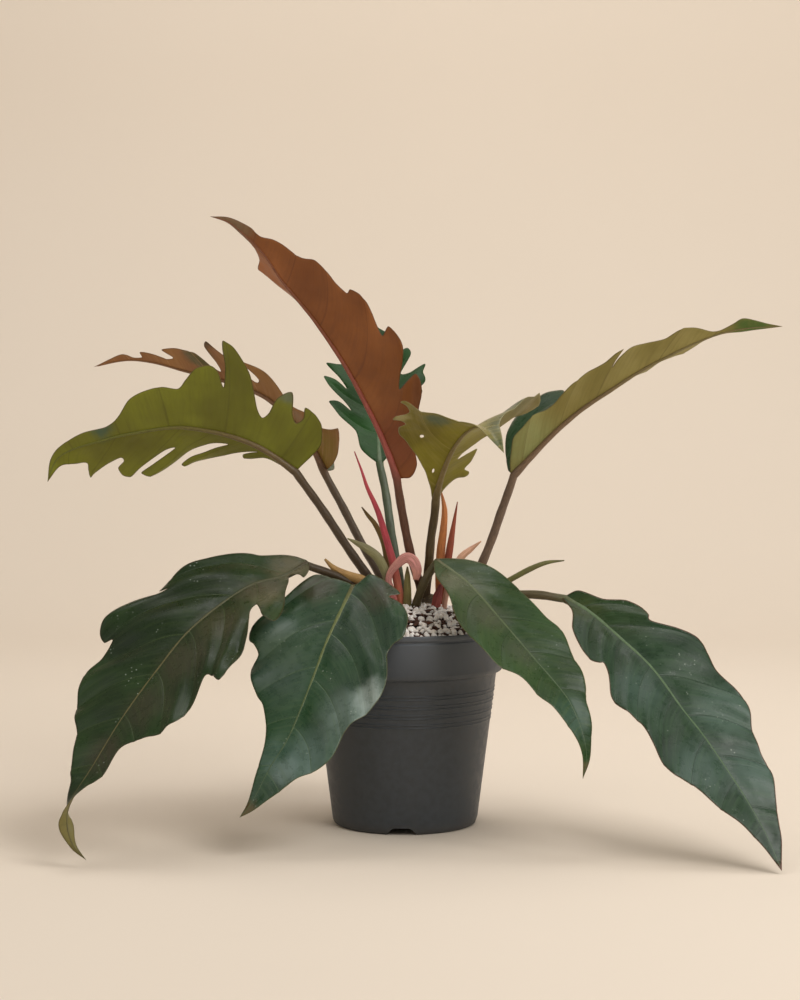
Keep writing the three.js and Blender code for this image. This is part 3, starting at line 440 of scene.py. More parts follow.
# A sheath is a strip with this bow, or a roll where it is thicker than ROLL_LEAST.
BOW = 0.42
ROLL_LEAST = 2

# The pot's double rings: where they are moulded, and how far each ring is from the middle of its two
POT_RING_HEIGHTS = (93, 101, 109, 117)
POT_RING_APART = 1.4

# How many sides round pieces have, the steps of the soil's surfaces, and the angle in degrees from which
# an edge of the pot is sharp
POT_SIDES = 160
SOIL_SIDES = 240
STEM_SIDES = 40
STALK_SIDES = 16
ROUND_SIDES = 24
SOIL_STEP = 1.4
STREW_STEP = 4
SHARP_FROM = 50

# Maps count in MAP_UNIT. A blade's margin value rises from 0 at the margin to 1 at MARGIN_REACH from it.
MAP_UNIT = 100
MARGIN_REACH = 10

# What the tree that strews loose bits is given, in metres where it is a size: how many, how far apart,
# their least size and its spread, how flat they are, how far they sink in, how fine they are, and a seed
BIT_INPUTS = [
    ("Density", "Float"), ("Apart", "Float"), ("Size", "Float"), ("Spread", "Float"), ("Flatness", "Float"),
    ("Sink", "Float"), ("Detail", "Int"), ("Seed", "Int"),
]

# Loose bits: the piece, its material with its dark and pale colour and roughness, the values that its tree
# is given, and whether it is smooth
BITS = [
    (
        "soil_crumbs", ("crumbs", 0x170F0C, 0x38251C, 0.8),
        (160000.0, 0.0012, 0.0009, 0.0012, 0.1, 0.0002, 1, 3), False,
    ),
    (
        "bark_chips", ("bark", 0x2A1812, 0x5E3B2A, 0.7),
        (26000.0, 0.002, 0.0022, 0.0034, 0.62, -0.0003, 2, 11), False,
    ),
    (
        "perlite_grains", ("perlite", 0xF8EEE4, 0xFFFFFC, 0.75),
        (90000.0, 0.004, 0.0021, 0.0011, 0.08, -0.0011, 2, 29), True,
    ),
]

# How each side of each blade looks: its two main colours, those of its side veins and of its margin, and
# the share of water marks
UNDER_LOW = (0x5C6238, 0x4A4B2B, 0x78764A, 0x5A5030, 0.0)
FORWARD_LOOK = (0x8E862E, 0x6E6420, 0xA89C58, 0x88805A, 0.0)
BLADE_LOOKS = {
    ("low_left", "upper"): (0x243B18, 0x192A11, 0x42522E, 0x4A3C24, 0.6),
    ("low_left", "under"): UNDER_LOW,
    ("front_left", "upper"): (0x2F4E32, 0x213A27, 0x546A4A, 0x4E5228, 0.7),
    ("front_left", "under"): UNDER_LOW,
    ("front_right", "upper"): (0x304C26, 0x22381B, 0x56673C, 0x5E5C38, 0.5),
    ("front_right", "under"): (0x6C6A3E, 0x56532F, 0x8A8454, 0x6A5C38, 0.0),
    ("low_right", "upper"): (0x243F26, 0x1A2F1D, 0x44603E, 0x6A3626, 0.5),
    ("low_right", "under"): UNDER_LOW,
    ("left", "upper"): (0x3A5A4A, 0x2C4436, 0x5A7258, 0x4A5036, 0.0),
    ("left", "under"): (0x7E8220, 0x68681A, 0x565418, 0x5A4A24, 0.0),
    ("back_left", "upper"): (0x3A5232, 0x2C3C26, 0x5A6844, 0x4E462E, 0.0),
    ("back_left", "under"): (0xB07E46, 0x96643A, 0xBE9264, 0x684C30, 0.0),
    ("tall", "upper"): (0x4E4C2C, 0x3C3A22, 0x6C6240, 0x4E4028, 0.0),
    ("tall", "under"): (0x92582A, 0x7A4620, 0x683A20, 0x5E3824, 0.0),
    ("back", "upper"): (0x20461A, 0x173210, 0x34542C, 0x2C3E1C, 0.1),
    ("back", "under"): (0x6A5F3A, 0x544A2C, 0x86784C, 0x5A4A30, 0.0),
    ("forward", "upper"): FORWARD_LOOK,
    ("forward", "under"): FORWARD_LOOK,
    ("right", "upper"): (0x2A4629, 0x1F3520, 0x4A6240, 0x4C4A30, 0.0),
    ("right", "under"): (0xA49A60, 0x8C824A, 0x6A5C34, 0x6A5C3C, 0.0),
}
WATER_MARK = 0xA9B3A6

# How strongly each blade mirrors, where it isn't the usual share
GLOSS = 0.36
GLOSS_OF = {
    "back": 0.12, "right": 0.14, "low_left": 0.27, "front_left": 0.5, "front_right": 0.26, "low_right": 0.3,
}

# Blades whose side veins are darker than the rest of the upper side
DARK_VEINED = ("front_right", "low_right")

# Patches of another colour on a blade's side: [along, across, radius, colour], across below 0 on the left.
# Most are the blade's own colour; some are painted sheen and one is a painted highlight, marked where they
# stand.
PATCHES_AND_SHEEN = {
    # On the tall blade's underside, the third patch is a painted highlight on its curled edge.
    ("tall", "under"): [(30, -14, 36, 0x7A4024), (262, -2, 24, 0x7E6E54), (205, 22, 34, 0xB06C3C)],
    ("left", "under"): [(176, -9, 12, 0x3C5648), (37, -54, 11, 0x68725A)],
    ("back_left", "under"): [
        (161, -18, 15, 0x525C36), (174, -20, 11, 0x4A5632), (155, -37, 8, 0x2C281C), (13, -12, 26, 0x8C7626),
        (29, 26, 22, 0x8C7626), (55, -8, 8, 0xA08262),
    ],
    ("forward", "upper"): [
        (104, -46, 40, 0x7C7A60), (103, 28, 15, 0x4E6452), (89, 54, 9, 0xA8A074), (119, -42, 26, 0x4C5638),
        (138, -14, 20, 0x505840), (100, -28, 18, 0x565A34), (165, 0, 20, 0x3C4E38),
    ],
    ("forward", "under"): [
        (104, -46, 40, 0x8A8062), (103, 28, 15, 0x4E6452), (89, 54, 9, 0xA8A074), (119, -42, 24, 0x7E7C58),
        (138, -14, 18, 0x868258), (100, -28, 18, 0x86804E), (165, 0, 14, 0x666A50),
    ],
    ("right", "under"): [(242, 2, 24, 0x426A30), (28, 16, 40, 0x8E9460)],
    ("right", "upper"): [(242, 2, 24, 0x426A30)],
    # On the front left blade, all but the first three patches are painted sheen: pale blue-grey reflections.
    ("front_left", "upper"): [
        (221, 0, 12, 0x5E4A26), (10, 30, 24, 0x454232), (8, -28, 22, 0x403E30), (98, 30, 34, 0x46594E),
        (62, 40, 18, 0x50645A), (165, -22, 30, 0x566C64), (122, -44, 30, 0x66786F), (172, 4, 20, 0x3C5848),
        (77, 36, 26, 0x4E6250), (104, -56, 18, 0x9AA8A2), (178, -12, 15, 0x6E827C),
    ],
    # On the low right blade, the last four patches are painted sheen.
    ("low_right", "upper"): [
        (306, 0, 10, 0x5A3C2A), (45, -14, 40, 0x1C3409), (20, 0, 22, 0x333F1A), (170, -30, 34, 0x445C4E),
        (225, -24, 32, 0x445C50), (205, 22, 32, 0x3E5448), (120, 26, 28, 0x3A5044),
    ],
    ("low_left", "upper"): [
        (322, 2, 16, 0x6C6438), (15, 2, 26, 0x66604A), (60, -16, 26, 0x4A4734), (110, -22, 30, 0x42412E),
        (66, -32, 17, 0x5C5C42), (78, 26, 24, 0x1A2810), (115, 44, 26, 0x15220D), (165, 44, 24, 0x152210),
        (160, -20, 30, 0x3A3A28), (208, -16, 28, 0x363826), (256, -6, 24, 0x3A3828),
    ],
    ("low_left", "under"): [(320, 0, 34, 0x7C7240)],
    # On the front right blade, the second patch is painted sheen, a pale grey along the rib.
    ("front_right", "upper"): [
        (36, -16, 40, 0x1C380C), (50, 10, 30, 0x525A44), (90, 10, 26, 0x444C38), (135, 8, 22, 0x3E4A36),
        (250, 0, 7, 0x5C4E30), (205, 6, 26, 0x34503E),
    ],
}

# Colours of each stalk, of its midrib and of the midrib's tip
STALK_LOOKS = {
    "low_left": (0x443622, 0x4E523A, 0x625C36),
    "front_left": (0x524426, 0x6E7846, 0x4A6042),
    "front_right": (0x564C2C, 0x5C6846, 0x4A5E3E),
    "low_right": (0x544A2E, 0x5A7250, 0x48643E),
    "left": (0x4C3C28, 0x6C5A36, 0x666A22),
    "back_left": (0x5A4A38, 0x8A6448, 0x8A6440),
    "tall": (0x603C28, 0x964A42, 0x7E482A),
    "back": (0x46523A, 0x46603A, 0x3A5432),
    "forward": (0x4A3A1A, 0x82724A, 0x847C44),
    "right": (0x6A5646, 0x7E6650, 0x7E7248),
}


def unit(rows):
    """Vectors at length 1."""
    return rows / np.linalg.norm(rows, axis=-1, keepdims=True)


def smooth_path(points, parts=40):
    """A curve through given points, as many small steps."""
    p = np.array(points, float)
    ends = np.vstack([2 * p[0] - p[1], p, 2 * p[-1] - p[-2]])
    t = (np.arange(parts) / parts)[:, None]
    rows = []
    for a, b, c, d in zip(ends, ends[1:], ends[2:], ends[3:]):
        square, cube = 2 * a - 5 * b + 4 * c - d, 3 * b - a - 3 * c + d
        rows.append(0.5 * (2 * b + (c - a) * t + square * t**2 + cube * t**3))
    return np.vstack(rows + [p[-1:]])


def distances(path):
    """How far along a path each of its points lies."""
    return np.concatenate([[0], np.cumsum(np.linalg.norm(np.diff(path, axis=0), axis=1))])


def along_path(path, marks, at):
    """The points of a path at given distances."""
    return np.stack([np.interp(at, marks, path[:, k]) for k in range(3)], -1)


def smoothstep(x, low, high):
    """0 below low, 1 above high, and smooth between."""
    t = np.clip((x - low) / (high - low), 0, 1)
    return t * t * (3 - 2 * t)


def make_piece(name, points, faces, material=None):
    """A smooth mesh piece from points in millimetres."""
    mesh = bpy.data.meshes.new(name)
    mesh.from_pydata((np.asarray(points) * MM).tolist(), [], faces)
    piece = bpy.data.objects.new(name, mesh)
    bpy.context.scene.collection.objects.link(piece)
    if material:
        mesh.materials.append(material)
    mesh.polygons.foreach_set("use_smooth", [True] * len(mesh.polygons))
    return piece


def corner_points(mesh):
    """The point that each face corner of a mesh belongs to."""
    corners = np.zeros(len(mesh.loops), np.int32)
    mesh.loops.foreach_get("vertex_index", corners)
    return corners


def add_map(mesh, name, places):
    """A texture map with one pair of numbers for each face corner."""
    layer = mesh.uv_layers.new(name=name)
    layer.data.foreach_set("uv", places.astype(np.float32).ravel())


def turn_outwards(piece):
    """Merges doubles of a closed piece and points its faces outwards."""
    mesh = bmesh.new()
    mesh.from_mesh(piece.data)
    bmesh.ops.remove_doubles(mesh, verts=mesh.verts, dist=1e-6)
    bmesh.ops.recalc_face_normals(mesh, faces=mesh.faces)
    mesh.to_mesh(piece.data)
    mesh.free()


def keep_result(piece):
    """Turns a piece with modifiers into a plain mesh."""
    evaluated = piece.evaluated_get(bpy.context.evaluated_depsgraph_get())
    mesh = bpy.data.meshes.new_from_object(evaluated)
    piece.modifiers.clear()
    piece.data = mesh


def colour(code):
    """A colour written as 0xRRGGBB, as Blender's own linear numbers."""
    parts = [(code >> 16 & 255) / 255, (code >> 8 & 255) / 255, (code & 255) / 255]
    linear = [c / 12.92 if c <= 0.04045 else ((c + 0.055) / 1.055) ** 2.4 for c in parts]
    return (*linear, 1)


class Graph:
    """A node tree that is filled in few words: inputs are numbers, colours or other nodes' sockets."""

    def __init__(self, tree):
        self.tree = tree

    def add(self, kind, inputs=None, **settings):
        node = self.tree.nodes.new(kind)
        for key, value in settings.items():
            setattr(node, key, value)
        for key, value in (inputs or {}).items():
            self.put(node.inputs[key], value)
        return node

    def put(self, socket, value):
        if isinstance(value, bpy.types.NodeSocket):
            self.tree.links.new(value, socket)
        else:
            socket.default_value = value

    def group(self, name, inputs):
        """Places a shared group and gives its outputs."""
        return self.add("ShaderNodeGroup", inputs, node_tree=bpy.data.node_groups[name]).outputs

    def uv(self, name):
        return self.add("ShaderNodeUVMap", uv_map=name).outputs[0]

    def math(self, operation, a, b=0.0, c=0.0):
        return self.add("ShaderNodeMath", {0: a, 1: b, 2: c}, operation=operation).outputs[0]

    def ramp(self, value, low, high, start=0.0, end=1.0):
        """Smoothly from start to end as value goes from low to high."""
        inputs = {"Value": value, "From Min": low, "From Max": high, "To Min": start, "To Max": end}
        return self.add("ShaderNodeMapRange", inputs, interpolation_type="SMOOTHSTEP").outputs[0]

    def mix(self, share, a, b, blend="MIX"):
        """Mixes two colours, which may be written as 0xRRGGBB."""
        node = self.add("ShaderNodeMix", {0: share}, data_type="RGBA", blend_type=blend)
        for key, value in ((6, a), (7, b)):
            self.put(node.inputs[key], colour(value) if isinstance(value, int) else value)
        return node.outputs[2]

    def noise(self, place, scale, detail=3.0, rough=0.5):
        inputs = {"Vector": place, "Scale": scale, "Detail": detail, "Roughness": rough}
        return self.add("ShaderNodeTexNoise", inputs).outputs["Fac"]

    def stretched(self, place, scale):
        return self.add("ShaderNodeMapping", {"Vector": place, "Scale": scale}).outputs[0]

    def bump(self, height, strength, distance):
        inputs = {"Height": height, "Strength": strength, "Distance": distance}
        return self.add("ShaderNodeBump", inputs).outputs[0]


def new_group(name, vectors, numbers, results):
    """A shader group with named vector and number inputs, and number outputs."""
    tree = bpy.data.node_groups.new(name, "ShaderNodeTree")
    sockets = [(label, "INPUT", "Vector") for label in vectors]
    sockets += [(label, "INPUT", "Float") for label in numbers]
    sockets += [(label, "OUTPUT", "Float") for label in results]
    for label, way, kind in sockets:
        tree.interface.new_socket(label, in_out=way, socket_type=f"NodeSocket{kind}")
    graph = Graph(tree)
    return graph, graph.add("NodeGroupInput").outputs, graph.add("NodeGroupOutput").inputs


def build_vein_group():
    """Side veins as thin lines, and fine streaks that run beside them."""
    graph, given, result = new_group("leaf veins", ["Veins"], [], ["Side", "Streak"])
    split = graph.add("ShaderNodeSeparateXYZ", {0: given["Veins"]}).outputs
    distance = graph.math("MULTIPLY", graph.math("PINGPONG", split[0], 0.5), VEIN_GAP)
    share = graph.math("DIVIDE", distance, graph.ramp(split[1], 0.0, 0.6, 1.1, 0.45))
    graph.put(result["Side"], graph.ramp(share, 0.3, 1.0, 1.0, 0.0))
    graph.put(result["Streak"], graph.noise(graph.stretched(given["Veins"], (16, 4, 1)), 1.0, 4.0, 0.6))


def build_mottle_group():
    """Broad and fine unevenness, and small pale water marks in clusters."""
    graph, given, result = new_group("leaf mottle", ["Place"], ["Specks"], ["Broad", "Fine", "Speck"])
    graph.put(result["Broad"], graph.ramp(graph.noise(given["Place"], 16.0, 3.0), 0.35, 0.68))
    graph.put(result["Fine"], graph.noise(given["Place"], 130.0, 4.0, 0.6))
    cells = graph.add("ShaderNodeTexVoronoi", {"Vector": given["Place"], "Scale": 260.0})
    dot = graph.ramp(cells.outputs["Distance"], 0.08, 0.22, 1.0, 0.0)
    cluster = graph.ramp(graph.noise(given["Place"], 30.0, 2.0), 0.55, 0.68)
    pick = graph.add("ShaderNodeSeparateColor", {0: cells.outputs["Color"]}).outputs[0]
    kept = graph.math("LESS_THAN", pick, given["Specks"])
    graph.put(result["Speck"], graph.math("MULTIPLY", graph.math("MULTIPLY", dot, cluster), kept))


def build_spot_group():
    """A soft patch round one place of a blade."""
    graph, given, result = new_group("leaf spot", ["Blade"], ["Along", "Across", "Radius"], ["Mask"])
    centre = graph.add("ShaderNodeCombineXYZ", {0: given["Along"], 1: given["Across"]}).outputs[0]
    apart = graph.add("ShaderNodeVectorMath", {0: given["Blade"], 1: centre}, operation="DISTANCE")
    ragged = graph.math("MULTIPLY_ADD", graph.noise(given["Blade"], 12.0, 3.0), 0.12, -0.06)
    reach = graph.math("DIVIDE", graph.math("ADD", apart.outputs["Value"], ragged), given["Radius"])
    graph.put(result["Mask"], graph.ramp(reach, 0.25, 1.15, 1.0, 0.0))


def build_grain_group():
    """Fine unevenness of dry or moulded surfaces, as a value round 0.5 and a slower one."""
    graph, given, result = new_group("surface grain", ["Place"], ["Scale"], ["Fine", "Slow"])
    graph.put(result["Fine"], graph.noise(given["Place"], given["Scale"], 4.0, 0.6))
    slower = graph.math("MULTIPLY", given["Scale"], 0.12)
    graph.put(result["Slow"], graph.ramp(graph.noise(given["Place"], slower, 3.0), 0.3, 0.7))


def new_material(name):
    """A material with its shader, and the graph and texture coordinates to fill it."""
    material = bpy.data.materials.new(name)
    material.use_nodes = True
    graph = Graph(material.node_tree)
    shader = material.node_tree.nodes["Principled BSDF"]
    place = graph.add("ShaderNodeTexCoord").outputs["Object"]
    return material, graph, shader, place


def dress(graph, shader, tone, rough, height, strength, depth):
    """Gives a shader its colour, roughness and relief."""
    graph.put(shader.inputs["Base Color"], tone)
    graph.put(shader.inputs["Roughness"], rough)
    graph.put(shader.inputs["Normal"], graph.bump(height, strength, depth))


def blade_material(name, side):
    """One side of a blade: mottled and finely streaked beside its side veins, with a thin margin."""
    base, shade, vein, edge, specks = BLADE_LOOKS[name, side]
    upper = side == "upper"
    material, graph, shader, place = new_material(f"leaf {name} {side}")
    blade = graph.uv("blade")
    margin = graph.add("ShaderNodeAttribute", attribute_name="margin").outputs["Fac"]
    veins = graph.group("leaf veins", {"Veins": graph.uv("veins")})
    mottle = graph.group("leaf mottle", {"Place": place, "Specks": specks})
    tone = graph.mix(mottle["Broad"], shade, base)
    # Patches of the blade's own colour, and of painted sheen and a painted highlight, laid over its tone.
    for along, across, radius, code in PATCHES_AND_SHEEN.get((name, side), ()):
        sizes = {"Along": along / MAP_UNIT, "Across": across / MAP_UNIT, "Radius": radius / MAP_UNIT}
        mask = graph.group("leaf spot", {"Blade": blade, **sizes})["Mask"]
        tone = graph.mix(graph.math("MULTIPLY", mask, 0.85), tone, code)
    line, line_share = (shade, 0.6) if upper and name in DARK_VEINED else (vein, 0.4)
    tone = graph.mix(graph.ramp(veins["Streak"], 0.4, 0.75, 0.0, 0.3), tone, vein)
    tone = graph.mix(graph.ramp(mottle["Fine"], 0.3, 0.6, 0.25, 0.0), tone, shade)
    tone = graph.mix(graph.math("MULTIPLY", veins["Side"], line_share), tone, line)
    tone = graph.mix(graph.ramp(margin, 0.02, 0.1, 0.7, 0.0), tone, edge)
    tone = graph.mix(graph.math("MULTIPLY", mottle["Speck"], 0.55), tone, WATER_MARK)
    low, high = (0.24, 0.38) if upper else (0.42, 0.58)
    shader.inputs["Specular IOR Level"].default_value = GLOSS_OF.get(name, GLOSS)
    rough = graph.ramp(mottle["Fine"], 0.3, 0.7, low, high)
    fine = graph.math("MULTIPLY_ADD", mottle["Fine"], 0.4, graph.math("MULTIPLY", veins["Streak"], 0.8))
    sunk = graph.math("MULTIPLY", veins["Side"], -1.1 if upper else -0.6)
    dress(graph, shader, tone, rough, graph.math("ADD", fine, sunk), 0.3, 0.0007)
    return material


def stalk_material(name):
    """A stalk with long streaks, turning into its midrib's colour at the blade."""
    stalk_code, rib_code, tip_code = STALK_LOOKS[name]
    material, graph, shader, place = new_material(f"stalk {name}")
    tube_map = graph.uv("tube")
    along = graph.add("ShaderNodeSeparateXYZ", {0: tube_map}).outputs[1]
    streak = graph.noise(graph.stretched(tube_map, (9, 6, 1)), 3.0, 3.0)
    base = graph.mix(graph.ramp(along, -0.15, 0.25), stalk_code, rib_code)
    base = graph.mix(graph.ramp(along, 0.3, 1.8), base, tip_code)
    pale = graph.mix(1.0, base, (1.25, 1.22, 1.15, 1), "MULTIPLY")
    dark = graph.mix(1.0, base, (0.62, 0.6, 0.58, 1), "MULTIPLY")
    tone = graph.mix(graph.ramp(streak, 0.3, 0.7), dark, pale)
    grain = graph.group("surface grain", {"Place": place, "Scale": 900.0})
    tone = graph.mix(graph.ramp(grain["Fine"], 0.55, 0.7, 0.0, 0.5), tone, pale)
    height = graph.math("ADD", streak, grain["Fine"])
    dress(graph, shader, tone, graph.ramp(grain["Slow"], 0.0, 1.0, 0.38, 0.52), height, 0.3, 0.0005)
    return material


def sheath_material(name, spec, reach):
    """A papery sheath with fibres along it, a darker, drier tip and another colour at its foot."""
    material, graph, shader, place = new_material(f"sheath {name}")
    tube_map = graph.uv("tube")
    along = graph.add("ShaderNodeSeparateXYZ", {0: tube_map}).outputs[1]
    fibre = graph.noise(graph.stretched(tube_map, (22, 3, 1)), 3.0, 4.0)
    base = spec["colour"]
    grain = graph.group("surface grain", {"Place": place, "Scale": 500.0})
    dark = graph.mix(1.0, base, (0.55, 0.5, 0.42, 1), "MULTIPLY")
    yellow = graph.mix(1.0, base, (1.2, 1.25, 0.9, 1), "MULTIPLY")
    tone = graph.mix(graph.ramp(fibre, 0.35, 0.65), dark, base)
    tone = graph.mix(graph.ramp(along, 0.0, 0.12, 0.8, 0.0), tone, dark)
    tone = graph.mix(graph.ramp(along, reach * 0.55, reach * 0.95, 0.0, 0.75), tone, spec.get("foot", base))
    tone = graph.mix(graph.ramp(grain["Slow"], 0.2, 1.0, 0.0, 0.3), tone, yellow)
    dress(graph, shader, tone, graph.ramp(grain["Fine"], 0.3, 0.7, 0.42, 0.62), fibre, 0.5, 0.0006)
    return material


def pot_material():
    """Matt moulded plastic, a warmer grey near its foot and paler towards the rim, where the paler colour is
    painted light.
    """
    material, graph, shader, place = new_material("pot plastic")
    grain = graph.group("surface grain", {"Place": place, "Scale": 1400.0})
    streaks = graph.noise(graph.stretched(place, (60, 60, 6)), 1.0, 3.0)
    height = graph.add("ShaderNodeSeparateXYZ", {0: place}).outputs[2]
    tone = graph.mix(grain["Slow"], 0x343A40, 0x3C4248)
    tone = graph.mix(graph.ramp(streaks, 0.5, 0.75, 0.0, 0.2), tone, 0x424448)
    tone = graph.mix(graph.ramp(height, 0.0, 0.012, 0.45, 0.0), tone, 0x48443E)
    # Painted light: from 118 mm up, the wall and rim turn paler.
    tone = graph.mix(graph.ramp(height, 0.118, 0.165, 0.0, 0.7), tone, 0x5C6269)
    dress(graph, shader, tone, graph.ramp(grain["Slow"], 0.0, 1.0, 0.42, 0.55), grain["Fine"], 0.1, 0.0002)
    return material


def soil_material():
    """Damp, nearly black mix with red-brown crumbs."""
    material, graph, shader, place = new_material("potting mix")
    grain = graph.group("surface grain", {"Place": place, "Scale": 700.0})
    tone = graph.mix(graph.ramp(grain["Fine"], 0.4, 0.7), 0x1B110D, 0x3E2A20)
    tone = graph.mix(graph.math("MULTIPLY", grain["Slow"], 0.5), tone, 0x2C1C15)
    dress(graph, shader, tone, graph.ramp(grain["Fine"], 0.3, 0.7, 0.7, 0.95), grain["Fine"], 0.9, 0.001)
    return material


def chip_material(name, dark, pale, rough):
    """Loose bits on the soil, from dark to pale."""
    material, graph, shader, place = new_material(name)
    grain = graph.group("surface grain", {"Place": place, "Scale": 420.0})
    tone = graph.mix(graph.ramp(grain["Fine"], 0.35, 0.65), dark, pale)
    dress(graph, shader, tone, graph.ramp(grain["Slow"], 0.0, 1.0, rough, 0.95), grain["Fine"], 0.6, 0.0006)
    return material


def stem_material():
    """Old stem, brown-green and ringed."""
    material, graph, shader, place = new_material("stem bark")
    rings = graph.noise(graph.stretched(place, (30, 30, 320)), 1.0, 3.0)
    grain = graph.group("surface grain", {"Place": place, "Scale": 500.0})
    tone = graph.mix(graph.ramp(rings, 0.35, 0.65), 0x3E2F1C, 0x75683C)
    tone = graph.mix(graph.ramp(grain["Fine"], 0.5, 0.7, 0.0, 0.5), tone, 0x8C7A50)
    dress(graph, shader, tone, graph.ramp(grain["Slow"], 0.0, 1.0, 0.5, 0.75), rings, 0.6, 0.001)
    return material


class Rib:
    """A leaf's midrib, with the way that the upper side looks all along it."""

    def __init__(self, leaf):
        self.path = smooth_path(leaf["rib"])
        self.marks = distances(self.path)
        self.length = self.marks[-1]
        rows = np.array(leaf["face"], float)
        self.face_marks = rows[:, 0]
        self.faces = unit(rows[:, 1:])

    def frame(self, along):
        """Centre, tangent, up and right at each distance."""
        inside = np.clip(along, 0, self.length)
        before = along_path(self.path, self.marks, np.clip(inside - RIB_LOOK, 0, self.length))
        after = along_path(self.path, self.marks, np.clip(inside + RIB_LOOK, 0, self.length))
        tangent = unit(after - before)
        up = np.stack([np.interp(inside, self.face_marks, self.faces[:, k]) for k in range(3)], -1)
        up = unit(up - tangent * (up * tangent).sum(-1, keepdims=True))
        centre = along_path(self.path, self.marks, inside) + tangent * (along - inside)[..., None]
        return centre, tangent, up, np.cross(tangent, up)


def vein_starts(edge, length, sweep):
    """Where the side veins of a half leave the rib: one for each lobe, and more where lobes are far apart."""
    outline = outline_of(edge, length)
    out = outline[:, 1]
    peaks = (out[1:-1] > out[:-2]) & (out[1:-1] >= out[2:]) & (out[1:-1] > LOBE_LEAST)
    lobes = []
    for along, reach in sorted(outline[1:-1][peaks].tolist(), key=lambda row: vein_start(*row, sweep)):
        start = vein_start(along, reach, sweep)
        if not lobes or start - lobes[-1] > VEIN_GAP_LEAST:
            lobes.append(start)
    lobes = lobes or [0.0]
    starts = [lobes[0] - 3 * VEIN_GAP]
    for start in lobes + [length + 2 * VEIN_GAP]:
        parts = max(1, round((start - starts[-1]) / VEIN_GAP))
        starts += np.linspace(starts[-1], start, parts + 1)[1:].tolist()
    return np.array(starts)


def vein_start(along, out, sweep):
    """Where on the rib the side vein through a point would start."""
    return along - sweep[0] * out - sweep[1] * out**2


def vein_count(half, length, along, out):
    """Side veins counted up to a point, whole numbers on the veins themselves."""
    sweep = half.get("sweep", VEIN_SWEEP_USUAL)
    starts = vein_starts(half["edge"], length, sweep)
    return np.interp(vein_start(along, out, sweep), starts, np.arange(len(starts)))


def vein_relief(count, out):
    """How far the blade swells between its side veins."""
    near = np.abs(count - np.round(count))
    swell = (VEIN_SWELL + MARGIN_SWELL * np.minimum(out / WAVE_REACH, 1)) * np.sin(math.pi * near) ** 2
    return (swell - VEIN_FURROW * np.exp(-((near * VEIN_GAP / 2) ** 2))) * smoothstep(out, 1, 12)


def blade_points(leaf, rib, side, along, out):
    """Points of one half of a blade, on its middle surface."""
    half = leaf["right" if side > 0 else "left"]
    centre, _, up, right = rib.frame(along)
    share = np.clip(along / rib.length, 0, 1)
    fold = np.radians(np.interp(share, np.linspace(0, 1, len(half["fold"])), half["fold"]))
    height, period, phase = half["wave"]
    swing = 2 * math.pi * (along - WAVE_LEAN * out) / period + phase
    rise = out * np.sin(fold) + height * (out / WAVE_REACH) ** 2 * np.sin(swing)
    rise += vein_relief(vein_count(half, rib.length, along, out), out)
    return centre + side * right * (out * np.cos(fold))[:, None] + up * rise[:, None]


def outline_of(edge, length):
    """The outline of a half from the blade's foot to its tip, as a smooth curve in small steps."""
    rows = np.array(edge, float)
    rows[-1] = (length, 0)
    rows = np.vstack([[0.25 * rows[0, 0] - 0.2, 0.25 * rows[0, 1]], rows])
    points = [rows[0]]
    for k in range(len(rows) - 1):
        start, end = rows[k], rows[k + 1]
        leave = EDGE_PULL * (end - rows[max(k - 1, 0)])
        arrive = EDGE_PULL * (rows[min(k + 2, len(rows) - 1)] - start)
        parts = max(1, math.ceil(np.linalg.norm(end - start) / OUTLINE_STEP))
        for t in np.arange(1, parts + 1) / parts:
            cubic = (2 * t**3 - 3 * t**2 + 1) * start + (t**3 - 2 * t**2 + t) * leave
            points.append(cubic + (3 * t**2 - 2 * t**3) * end + (t**3 - t**2) * arrive)
    points = np.array(points)
    points[:, 1] = np.maximum(points[:, 1], 0.05)
    points[-1] = (length, 0)
    return points


def distance_to(line, points):
    """How far each point lies from an open line of [along, out] points."""
    start, step = line[:-1], np.diff(line, axis=0)
    size = (step**2).sum(1)
    away = points[:, None] - start[None]
    t = np.clip((away * step[None]).sum(2) / np.maximum(size, 1e-9), 0, 1)
    return np.sqrt(((away - t[..., None] * step[None]) ** 2).sum(2).min(1))


def inside_of(loop, points):
    """Which points lie inside a closed loop."""
    x, y = points[:, 0:1], points[:, 1:2]
    x1, y1 = loop[:, 0], loop[:, 1]
    x2, y2 = np.roll(x1, -1), np.roll(y1, -1)
    crosses = (y1 > y) != (y2 > y)
    flat = np.where(np.abs(y2 - y1) < 1e-12, 1e-12, y2 - y1)
    return (crosses & (x < (x2 - x1) * (y - y1) / flat + x1)).sum(1) % 2 == 1


